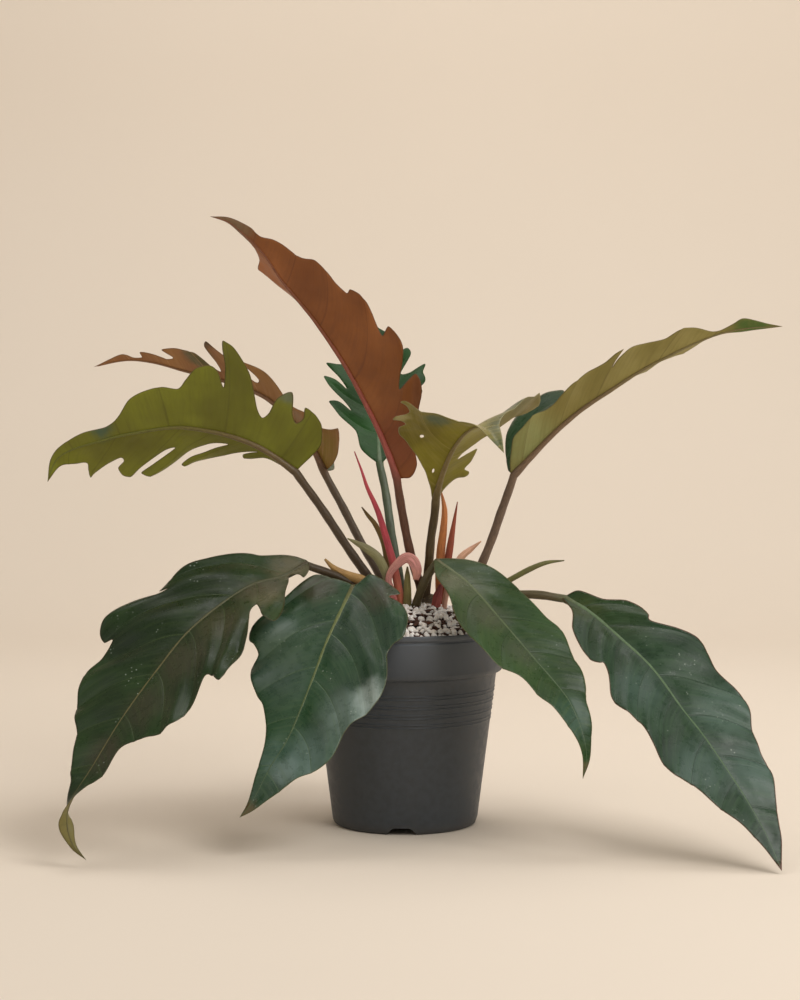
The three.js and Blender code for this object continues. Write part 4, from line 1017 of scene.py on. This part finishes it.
def half_net(edge, length, holes=()):
    """One half of a blade as [along, out] points and triangles, with its outline and its holes."""
    outline = outline_of(edge, length)
    ribs = np.arange(1, math.ceil(length / OUTLINE_STEP)) * length / math.ceil(length / OUTLINE_STEP)
    rib_line = np.stack([ribs[::-1], np.zeros(len(ribs))], 1)
    loop = np.vstack([[[0, 0]], outline, rib_line])
    low, high = loop.min(0), loop.max(0)
    grid = []
    for k, out in enumerate(np.arange(low[1] + BLADE_STEP * 0.5, high[1], BLADE_STEP * GRID_ROW)):
        along = np.arange(low[0] + (k % 2) * BLADE_STEP / 2, high[0], BLADE_STEP)
        grid.append(np.stack([along, np.full(len(along), out)], 1))
    grid = np.vstack(grid)
    grid = grid[inside_of(loop, grid)]
    grid = grid[distance_to(np.vstack([loop, loop[:1]]), grid) > BLADE_STEP * GRID_CLEAR]
    lines = [loop]
    for along, out, half_long, half_wide in holes:
        turn = np.linspace(0, 2 * math.pi, ROUND_SIDES, endpoint=False)
        lines.append(np.stack([along + half_long * np.cos(turn), out + half_wide * np.sin(turn)], 1))
        reach = (half_long + HOLE_CLEAR, half_wide + HOLE_CLEAR)
        grid = grid[(((grid - (along, out)) / reach) ** 2).sum(1) > 1]
    points, edges = [], []
    for line in lines:
        first, count = len(points), len(line)
        points += line.tolist()
        edges += [(first + k, first + (k + 1) % count) for k in range(count)]
    points += grid.tolist()
    found = geometry.delaunay_2d_cdt([Vector(p) for p in points], edges, [], 1, 1e-5)
    flat = np.array([tuple(p) for p in found[0]])
    faces = np.array([f for f in found[2] if len(f) == 3])
    for line in lines[1:]:
        faces = faces[~inside_of(line, flat[faces].mean(1))]
    a, b, c = (flat[faces[:, k]] for k in range(3))
    area = (b[:, 0] - a[:, 0]) * (c[:, 1] - a[:, 1]) - (b[:, 1] - a[:, 1]) * (c[:, 0] - a[:, 0])
    faces = faces[np.abs(area) > 1e-7]
    area = area[np.abs(area) > 1e-7]
    faces[area < 0] = faces[area < 0][:, ::-1]
    return flat, faces, outline


def blade_sheet(leaf, rib):
    """Both halves of a blade joined at the rib: points, map, margin distance and triangles that face up."""
    points, maps, margins, faces = [], [], [], []
    count = 0
    for side in (-1, 1):
        half = leaf["right" if side > 0 else "left"]
        flat, triangles, outline = half_net(half["edge"], rib.length, half.get("holes", ()))
        along, out = flat[:, 0], np.maximum(flat[:, 1], 0)
        points.append(blade_points(leaf, rib, side, along, out))
        maps.append(np.stack([along, side * out], 1))
        margins.append(distance_to(outline, flat))
        faces.append((triangles if side < 0 else triangles[:, ::-1]) + count)
        count += len(flat)
    points, maps, margins = np.vstack(points), np.vstack(maps), np.concatenate(margins)
    faces = np.vstack(faces)
    keys = np.where(np.abs(maps[:, 1]) < 1e-4, np.round(maps[:, 0] * 100), 1e7 + np.arange(count))
    _, first, again = np.unique(keys, return_index=True, return_inverse=True)
    faces = again[faces]
    faces = faces[(faces[:, 0] != faces[:, 1]) & (faces[:, 1] != faces[:, 2]) & (faces[:, 0] != faces[:, 2])]
    return points[first], maps[first], margins[first], faces


def point_normals(points, faces):
    """The way that a sheet looks at each of its points."""
    a, b, c = (points[faces[:, k]] for k in range(3))
    face_normals = np.cross(b - a, c - a)
    normals = np.zeros_like(points)
    for k in range(3):
        np.add.at(normals, faces[:, k], face_normals)
    return normals / np.maximum(np.linalg.norm(normals, axis=1, keepdims=True), 1e-12)


def make_blade(name, leaf, rib):
    """A blade with its two faces and a rim, an upper and an under material, and its map."""
    points, maps, margins, faces = blade_sheet(leaf, rib)
    normals = point_normals(points, faces)
    if (normals * rib.frame(np.clip(maps[:, 0], 0, rib.length))[2]).sum() < 0:
        faces, normals = faces[:, ::-1], -normals
    thick = BLADE_HALF_THICK * (0.35 + 0.65 * smoothstep(margins, 0, 3))[:, None]
    count = len(points)
    sides = np.vstack([faces[:, [0, 1]], faces[:, [1, 2]], faces[:, [2, 0]]])
    known = {(a, b) for a, b in sides.tolist()}
    rim = sorted((b, a, a + count, b + count) for a, b in known if (b, a) not in known)
    every = faces.tolist() + (faces[:, ::-1] + count).tolist() + rim
    both = np.vstack([points + normals * thick, points - normals * thick])
    piece = make_piece(f"blade_{name}", both, every)
    mesh = piece.data
    for side in ("upper", "under"):
        mesh.materials.append(blade_material(name, side))
    mesh.polygons.foreach_set("material_index", [0] * len(faces) + [1] * (len(faces) + len(rim)))
    places = maps[corner_points(mesh) % count]
    add_map(mesh, "blade", places / MAP_UNIT)
    across = maps[:, 1]
    on_right = np.tile(np.repeat(across[faces].sum(1) > 0, 3), 2)
    on_right = np.concatenate([on_right, np.repeat([across[a] + across[b] > 0 for b, a, _, _ in rim], 4)])
    counts = np.zeros(len(places))
    for half, chosen in (("left", ~on_right), ("right", on_right)):
        picked = places[chosen]
        counts[chosen] = vein_count(leaf[half], rib.length, picked[:, 0], np.abs(picked[:, 1]))
    add_map(mesh, "veins", np.stack([counts, np.abs(places[:, 1]) / MAP_UNIT], 1))
    margin = mesh.attributes.new("margin", "FLOAT", "POINT")
    margin.data.foreach_set("value", np.tile(np.clip(margins / MARGIN_REACH, 0, 1), 2).astype(np.float32))
    mesh.update()
    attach(piece, "root")
    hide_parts(f"leaf_{name}")


def tube_mesh(name, centres, ups, section, material, start=0.0):
    """A closed tube: section(k) gives ring k's offsets [sideways, upwards]; the map holds turn and length."""
    tangents = unit(np.gradient(centres, axis=0))
    ups = unit(ups - tangents * (ups * tangents).sum(1, keepdims=True))
    across = np.cross(tangents, ups)
    marks = distances(centres) + start
    rings, sides = len(centres), len(section(0))
    points = []
    for k in range(rings):
        ring = section(k)
        points.append(centres[k] + ring[:, 0:1] * across[k] + ring[:, 1:2] * ups[k])
    points = np.vstack(points + [centres[:1], centres[-1:]])
    faces = []
    for k in range(rings - 1):
        for j in range(sides):
            a, b = k * sides + j, k * sides + (j + 1) % sides
            faces.append((a, b, b + sides, a + sides))
    last = (rings - 1) * sides
    for j in range(sides):
        faces.append((rings * sides, (j + 1) % sides, j))
        faces.append((rings * sides + 1, last + j, last + (j + 1) % sides))
    piece = make_piece(name, points, faces, material)
    corners = corner_points(piece.data)
    length = np.concatenate([np.repeat(marks, sides), [marks[0], marks[-1]]])[corners] / MAP_UNIT
    turn = np.concatenate([np.tile(np.abs(np.arange(sides) / sides - 0.5) * 2, rings), [0, 0]])[corners]
    add_map(piece.data, "tube", np.stack([turn, length], 1))
    turn_outwards(piece)
    return piece


def carried(up, tangents):
    """Carries an up vector back along a path from its end."""
    ups = np.zeros_like(tangents)
    for k in range(len(tangents) - 1, -1, -1):
        up = up - tangents[k] * (up @ tangents[k])
        up = up / np.linalg.norm(up)
        ups[k] = up
    return ups


def make_stalk(name, leaf, rib):
    """A stalk from the soil to its blade, going on through the blade as its midrib."""
    foot, _, foot_up, _ = rib.frame(np.array([0.0]))
    path = smooth_path(leaf["stalk"] + [foot[0].tolist()])
    marks = distances(path)
    steps = math.ceil(marks[-1] / STALK_STEP)
    at = np.arange(steps) / steps * marks[-1]
    share = at / marks[-1]
    below = along_path(path, marks, at)
    below_radius = STALK_FOOT_RADIUS + (STALK_TOP_RADIUS - STALK_FOOT_RADIUS) * np.sqrt(share)
    ups = carried(foot_up[0], unit(np.gradient(below, axis=0)))
    along = np.linspace(0, rib.length * RIB_SHARE, math.ceil(rib.length / STALK_STEP))
    centre, _, up, _ = rib.frame(along)
    rib_share = along / along[-1]
    rib_radius = RIB_RADIUS + (RIB_TIP_RADIUS - RIB_RADIUS) * rib_share**0.8
    rib_radius += (STALK_TOP_RADIUS - RIB_RADIUS) * np.exp(-((along / RIB_BLEND) ** 2))
    radius = np.concatenate([below_radius, rib_radius])
    sink = RIB_SINK * STALK_TOP_RADIUS * smoothstep(share, 0.7, 1)
    rib_depth = RIB_SINK * rib_radius - 0.2 * rib_share
    centres = np.vstack([below - ups * sink[:, None], centre - up * rib_depth[:, None]])
    turn = np.linspace(0, 2 * math.pi, STALK_SIDES, endpoint=False)
    furrow = 1 - 0.14 * np.exp(-((np.minimum(turn, 2 * math.pi - turn) / 0.55) ** 2))
    rings = np.arange(len(radius))
    knots = 1 + 0.03 * np.sin(rings * 0.9) + 0.02 * np.sin(rings * 0.37 + 1)

    def section(k):
        size = radius[k] * knots[k] * furrow
        return np.stack([np.sin(turn) * size, np.cos(turn) * size], 1)

    every_up = np.vstack([ups, up])
    piece = tube_mesh(f"petiole_{name}", centres, every_up, section, stalk_material(name), -marks[-1])
    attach(piece, "root")
    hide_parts(f"stalk_{name}")


def make_sheath(name, spec):
    """A sheath is a bowed, papery strip, and the new leaf is a tight roll."""
    path = smooth_path(spec["path"], 10)[::2]
    marks = distances(path)
    given = distances(np.array(spec["path"], float))
    wide = np.interp(marks / marks[-1], given / given[-1], spec["wide"]) * spec.get("broad", 1)
    turn = np.linspace(0, 2 * math.pi, ROUND_SIDES, endpoint=False)
    across = np.sin(turn)

    def section(k):
        thick = min(spec["thick"], wide[k])
        if spec["thick"] > ROLL_LEAST:
            size = 1 - 0.16 * turn / (2 * math.pi)
            return np.stack([across * wide[k] * size, np.cos(turn) * thick * size], 1)
        bow = spec.get("bow", BOW) * wide[k] * (0.5 - across**2) + 0.12 * np.sin(7 * across + 0.3 * k)
        return np.stack([across * wide[k], bow + thick * 0.55 * np.cos(turn)], 1)

    ups = np.tile([0.0, -1.0, 0.0], (len(path), 1))
    material = sheath_material(name, spec, marks[-1] / MAP_UNIT)
    piece = tube_mesh(f"look_{name}", path, ups, section, material)
    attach(piece, "root")
    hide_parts(name)


def rounded(profile, radius, parts=4):
    """A profile with its corners rounded off, the first and last point left as they are."""
    rows = np.array(profile, float)
    result = [rows[0]]
    for before, corner, after in zip(rows, rows[1:], rows[2:]):
        back, ahead = before - corner, after - corner
        reach = min(radius, 0.45 * np.linalg.norm(back), 0.45 * np.linalg.norm(ahead))
        start = corner + back / np.linalg.norm(back) * reach
        end = corner + ahead / np.linalg.norm(ahead) * reach
        for t in np.linspace(0, 1, parts):
            result.append((1 - t) ** 2 * start + 2 * t * (1 - t) * corner + t**2 * end)
    return np.array(result + [rows[-1]])


def turned(name, profile, sides, place=(0, 0), material=None):
    """A profile of [radius, height] turned round an upright axis, closed at its poles."""
    points, rings, faces = [], [], []
    for radius, height in profile:
        first = len(points)
        turns = [0.0] if radius < 1e-6 else 2 * math.pi * np.arange(sides) / sides
        points += [(place[0] + radius * math.cos(a), place[1] + radius * math.sin(a), height) for a in turns]
        rings.append((first, len(turns)))
    for (low, low_count), (high, high_count) in zip(rings, rings[1:]):
        for k in range(sides):
            n = (k + 1) % sides
            ring = [low + k % low_count, low + n % low_count, high + n % high_count, high + k % high_count]
            faces.append([v for j, v in enumerate(ring) if v != ring[j - 1]])
    piece = make_piece(name, points, faces, material)
    turn_outwards(piece)
    return piece


def wall_radius(height):
    """The outside of the pot's wall, between its foot and its shoulder."""
    rise = SHOULDER_LOW - POT_FOOT_TOP
    return POT_FOOT_RADIUS + (SHOULDER_RADIUS - POT_FOOT_RADIUS) * (height - POT_FOOT_TOP) / rise


def pot_profile():
    """The pot's section, with four faint double rings moulded on its wall."""
    rim_inside = POT_RIM_RADIUS - 3
    rings = []
    for height in POT_RING_HEIGHTS:
        for middle in (height - POT_RING_APART, height + POT_RING_APART):
            for offset, relief in ((-0.8, 0), (-0.4, 0.45), (0.4, 0.45), (0.8, 0)):
                rings.append((wall_radius(middle + offset) + relief, middle + offset))
    return [
        (0, POT_UNDERSIDE), (52, POT_UNDERSIDE), (54.5, 0), (59, 0), (61.3, 1.2),
        (POT_FOOT_RADIUS, POT_FOOT_TOP),
        *rings,
        (SHOULDER_RADIUS, SHOULDER_LOW), (83, 133), (84, 136), (85.4, 163), (84.3, 164), (84.3, 165),
        (POT_RIM_RADIUS, 166), (POT_RIM_RADIUS, POT_HEIGHT - 0.8), (POT_RIM_RADIUS - 0.8, POT_HEIGHT),
        (rim_inside + 0.8, POT_HEIGHT), (rim_inside, POT_HEIGHT - 1), (rim_inside - 0.3, 160), (81, 136),
        (SHOULDER_RADIUS - POT_WALL, SHOULDER_LOW), (wall_radius(POT_FLOOR + 3) - POT_WALL, POT_FLOOR + 3),
        (57.5, POT_FLOOR), (0, POT_FLOOR),
    ]


def notch_cutter(turn):
    """A wedge that cuts one notch out of the foot ring."""
    outline = [(-14, -1), (14, -1), (9, 4.5), (6.5, NOTCH_HEIGHT), (-6.5, NOTCH_HEIGHT), (-9, 4.5)]
    points = [(x, y, z) for y in (POT_FOOT_RADIUS - 12, POT_FOOT_RADIUS + 8) for x, z in outline]
    count = len(outline)
    faces = [list(range(count)), list(range(count, 2 * count))]
    faces += [[k, (k + 1) % count, count + (k + 1) % count, count + k] for k in range(count)]
    cos, sin = math.cos(turn), math.sin(turn)
    corners = [(x * cos - y * sin, x * sin + y * cos, z) for x, y, z in points]
    cutter = make_piece("notch_cutter", corners, faces)
    turn_outwards(cutter)
    return cutter


def make_pot():
    """The pot, turned, notched at its foot and drained through its bottom, in the middle and in a ring."""
    material = pot_material()
    pot = turned("nursery_pot", rounded(pot_profile(), 0.9), POT_SIDES, material=material)
    turns = [NOTCH_TURN - 90 + 360 / NOTCH_COUNT * k for k in range(NOTCH_COUNT)]
    cutters = [notch_cutter(math.radians(turn)) for turn in turns]
    low, high = POT_FLOOR - 8, POT_FLOOR + 4
    drain = [(0, low), (DRAIN_RADIUS, low), (DRAIN_RADIUS, high), (0, high)]
    places = [(0, 0)]
    for k in range(DRAIN_COUNT):
        turn = 2 * math.pi * k / DRAIN_COUNT
        places.append((DRAIN_CIRCLE_RADIUS * math.cos(turn), DRAIN_CIRCLE_RADIUS * math.sin(turn)))
    cutters += [turned("drain_cutter", drain, ROUND_SIDES, place) for place in places]
    for cutter in cutters:
        cut = pot.modifiers.new("cut", "BOOLEAN")
        cut.operation = "DIFFERENCE"
        cut.object = cutter
    keep_result(pot)
    for cutter in cutters:
        bpy.data.objects.remove(cutter)
    pot.data.materials.clear()
    pot.data.materials.append(material)
    pot.data.set_sharp_from_angle(angle=math.radians(SHARP_FROM))
    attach(pot, "root")
    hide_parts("pot")


def soil_height(x, y):
    """The mound of the soil, with low bumps."""
    share = np.minimum(1, np.hypot(x, y) / SOIL_RADIUS)
    bumps = 1.1 * np.sin(x * 0.21 + 1.3) * np.sin(y * 0.26) + 0.7 * np.sin(x * 0.5 - y * 0.43)
    return SOIL_EDGE + (SOIL_MIDDLE - SOIL_EDGE) * (1 - share**2) + bumps * (1 - share**4)


def crumbled(x, y):
    """The soil's height at one point, with its small lumps."""
    lump = noise.fractal(Vector((x * 0.16, y * 0.16, 3.0)), 0.9, 2.1, 5)
    return float(soil_height(x, y)) + 1.1 * lump


def make_soil():
    """The potting mix: a lumpy top, on a body that fills the pot."""
    foot = POT_FLOOR + SOIL_GAP
    profile = [(0, foot), (56.8, foot)]
    profile.append((wall_radius(POT_FLOOR + 4) - POT_WALL - SOIL_GAP, POT_FLOOR + 4))
    profile.append((wall_radius(SHOULDER_LOW) - POT_WALL - SOIL_GAP - 0.2, SHOULDER_LOW))
    profile += [(80.4, 136.4), (SOIL_RADIUS, SOIL_EDGE - 3)]
    profile += [(radius, SOIL_EDGE) for radius in np.arange(SOIL_RADIUS - 1, 0, -SOIL_STEP)]
    soil = turned("potting_mix", profile + [(0, SOIL_EDGE)], SOIL_SIDES, material=soil_material())
    for vertex in soil.data.vertices:
        if vertex.co.z > (SOIL_EDGE - 1) * MM:
            vertex.co.z = crumbled(vertex.co.x / MM, vertex.co.y / MM) * MM
    soil.data.update()
    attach(soil, "root")
    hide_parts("soil")


def scatter_tree():
    """A tree that strews lumps over a surface: flat or round, at random sizes and turns."""
    tree = bpy.data.node_groups.new("strewn bits", "GeometryNodeTree")
    sockets = [("Geometry", "Geometry"), *BIT_INPUTS, ("Finish", "Material")]
    for label, kind in sockets:
        tree.interface.new_socket(label, in_out="INPUT", socket_type=f"NodeSocket{kind}")
    tree.interface.new_socket("Geometry", in_out="OUTPUT", socket_type="NodeSocketGeometry")
    graph = Graph(tree)
    given = graph.add("NodeGroupInput").outputs
    spread = {
        "Mesh": given["Geometry"],
        "Density Max": given["Density"],
        "Distance Min": given["Apart"],
        "Seed": given["Seed"],
    }
    spots = graph.add("GeometryNodeDistributePointsOnFaces", spread, distribute_method="POISSON")
    ball = graph.add("GeometryNodeMeshIcoSphere", {"Radius": 1.0, "Subdivisions": given["Detail"]})
    position = graph.add("GeometryNodeInputPosition").outputs[0]
    lumps = graph.add("ShaderNodeTexNoise", {"Vector": position, "Scale": 1.4}).outputs["Fac"]
    swell = graph.math("MULTIPLY_ADD", lumps, 1.0, 0.5)
    moved = graph.add("ShaderNodeVectorMath", {0: position, "Scale": swell}, operation="SCALE").outputs[0]
    bit = graph.add("GeometryNodeSetPosition", {"Geometry": ball.outputs["Mesh"], "Position": moved})
    random = "FunctionNodeRandomValue"
    turn = graph.add(random, {"Max": (6.3, 6.3, 6.3), "Seed": given["Seed"]}, data_type="FLOAT_VECTOR")
    tilt = graph.add(random, {"Min": (-0.5, -0.5, 0), "Max": (0.5, 0.5, 6.3)}, data_type="FLOAT_VECTOR")
    largest = graph.math("ADD", given["Size"], given["Spread"])
    size = graph.add(random, {2: given["Size"], 3: largest, "Seed": given["Seed"]}, data_type="FLOAT")
    length = graph.add(random, {2: 0.8, 3: 1.7}, data_type="FLOAT").outputs[1]
    thin = graph.math("SUBTRACT", 1.0, given["Flatness"])
    wide = graph.add("ShaderNodeCombineXYZ", {0: length, 1: 0.85, 2: thin}).outputs[0]
    scaled = graph.add("ShaderNodeVectorMath", {0: wide, "Scale": size.outputs[1]}, operation="SCALE")
    flat = graph.math("GREATER_THAN", given["Flatness"], 0.4)
    way = graph.add("GeometryNodeSwitch", input_type="VECTOR")
    for key, value in enumerate((flat, turn.outputs[0], tilt.outputs[0])):
        graph.put(way.inputs[key], value)
    copies = {
        "Points": spots.outputs["Points"],
        "Instance": bit.outputs[0],
        "Rotation": way.outputs[0],
        "Scale": scaled.outputs[0],
    }
    placed = graph.add("GeometryNodeInstanceOnPoints", copies)
    down = graph.add("ShaderNodeCombineXYZ", {2: graph.math("MULTIPLY", given["Sink"], -1.0)}).outputs[0]
    move = {0: placed.outputs[0], "Translation": down, "Local Space": False}
    sunk = graph.add("GeometryNodeTranslateInstances", move)
    real = graph.add("GeometryNodeRealizeInstances", {0: sunk.outputs[0]})
    finish = graph.add("GeometryNodeSetMaterial", {"Geometry": real.outputs[0], "Material": given["Finish"]})
    graph.put(graph.add("NodeGroupOutput").inputs[0], finish.outputs[0])
    return tree


def soil_surface():
    """A bare copy of the soil's top, to strew bits on."""
    reach = int(SOIL_RADIUS / STREW_STEP) * STREW_STEP - STREW_STEP / 2
    marks = np.arange(-reach, reach + 1, STREW_STEP)
    points, index = [], {}
    for i, x in enumerate(marks):
        for j, y in enumerate(marks):
            if math.hypot(x, y) < SOIL_RADIUS - 1:
                index[i, j] = len(points)
                points.append((x, y, crumbled(x, y)))
    faces = []
    for i, j in index:
        ring = [(i, j), (i + 1, j), (i + 1, j + 1), (i, j + 1)]
        if all(k in index for k in ring):
            faces.append([index[k] for k in ring])
    return points, faces


def make_bits():
    """Crumbs, bark chips and white perlite on the soil, worked out by the tree and kept as plain meshes."""
    tree = scatter_tree()
    inputs = {item.name: item.identifier for item in tree.interface.items_tree if item.in_out == "INPUT"}
    points, faces = soil_surface()
    for name, look, values, smooth in BITS:
        material = chip_material(*look)
        piece = make_piece(name, points, faces, material)
        modifier = piece.modifiers.new("bits", "NODES")
        modifier.node_group = tree
        for (label, _), value in zip(BIT_INPUTS, values):
            modifier[inputs[label]] = value
        modifier[inputs["Finish"]] = material
        keep_result(piece)
        piece.data.polygons.foreach_set("use_smooth", [smooth] * len(piece.data.polygons))
        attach(piece, "root")


def make_crowns():
    """The two short stems, ringed with old leaf scars."""
    material = stem_material()
    for name, (place, radius) in CROWNS.items():
        profile = [(0, CROWN_FOOT), (radius * 0.9, CROWN_FOOT), (radius, CROWN_FOOT + 12)]
        for height in np.arange(CROWN_FOOT + 14, CROWN_TOP - 8, 3.0):
            profile += [(radius * 0.97, height), (radius * 0.99, height + 1.6), (radius * 0.93, height + 2.2)]
        profile += [(radius * 0.9, CROWN_TOP - 8), (radius * 0.55, CROWN_TOP - 2), (0, CROWN_TOP)]
        stem = turned(f"stem_{name}", rounded(profile, 0.5, 3), STEM_SIDES, place, material)
        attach(stem, "root")
        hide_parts(name)


def make_stage():
    """A pale floor that curves up into a backdrop."""
    material, graph, shader, place = new_material("studio paper")
    graph.put(shader.inputs["Base Color"], graph.mix(graph.noise(place, 1.2, 2.0), 0xE2D6C6, 0xE7DBCC))
    shader.inputs["Roughness"].default_value = 0.95
    shader.inputs["Specular IOR Level"].default_value = 0.1
    bend, back, top, front, half = 0.9, 2.2, 4.0, -4.0, 5.0
    profile = [(front, 0.0)]
    for turn in np.linspace(0, math.pi / 2, 24):
        profile.append((back - bend + bend * math.sin(turn), bend - bend * math.cos(turn)))
    profile.append((back, top))
    points = [(x / MM, y / MM, z / MM) for x in (-half, half) for y, z in profile]
    count = len(profile)
    faces = [(k, k + 1, count + k + 1, count + k) for k in range(count - 1)]
    floor = make_piece("studio_sweep", points, faces, material)


def add_light(name, place, aim, size, energy, tint):
    """A soft square light that looks at a point."""
    data = bpy.data.lights.new(name, "AREA")
    data.size = size
    data.energy = energy
    data.color = tint
    lamp = bpy.data.objects.new(name, data)
    lamp.location = place
    lamp.rotation_euler = (Vector(aim) - Vector(place)).to_track_quat("-Z", "Y").to_euler()
    bpy.context.scene.collection.objects.link(lamp)


def make_lights():
    """A broad light from the front right and above, a weaker one from the left, and a pale surround."""
    warm = (1.0, 0.98, 0.96)
    add_light("key", (1.3, -1.5, 2.1), (0, 0, 0.25), 1.5, 40.0, warm)
    add_light("fill", (-1.7, -1.3, 1.3), (0, 0, 0.25), 1.6, 5.5, warm)
    add_light("side", (1.8, -0.3, 1.0), (0.1, 0, 0.2), 0.9, 6.0, (0.96, 0.98, 1.0))
    add_light("top", (0.1, 0.5, 2.3), (0, 0, 0.2), 1.4, 5.0, warm)
    add_light("backdrop", (0.2, 0.6, 2.4), (0.2, 2.2, 0.8), 2.0, 20.0, (1.0, 0.97, 0.95))
    world = bpy.data.worlds.new("surround")
    world.use_nodes = True
    background = world.node_tree.nodes["Background"]
    background.inputs[0].default_value = (1.0, 0.93, 0.84, 1)
    background.inputs[1].default_value = 0.35
    bpy.context.scene.world = world


def make_camera():
    """The photograph's viewpoint, which looks a little down."""
    down = 3.41
    data = bpy.data.cameras.new("camera")
    data.lens = 85
    data.sensor_fit = "VERTICAL"
    data.sensor_height = 36
    camera = bpy.data.objects.new("camera", data)
    camera.location = (-0.0043, -2.018, 0.398)
    camera.rotation_euler = Euler((math.radians(90 - down), 0, 0))
    bpy.context.scene.collection.objects.link(camera)
    bpy.context.scene.camera = camera


def main():
    make_camera()
    for build in (build_vein_group, build_mottle_group, build_spot_group, build_grain_group):
        build()
    make_pot()
    make_soil()
    make_bits()
    make_crowns()
    for name, leaf in LEAVES.items():
        rib = Rib(leaf)
        make_stalk(name, leaf, rib)
        make_blade(name, leaf, rib)
    for name, spec in SHEATHS.items():
        make_sheath(name, spec)
    make_stage()
    make_lights()
    bpy.context.scene.view_settings.view_transform = "Standard"


main()
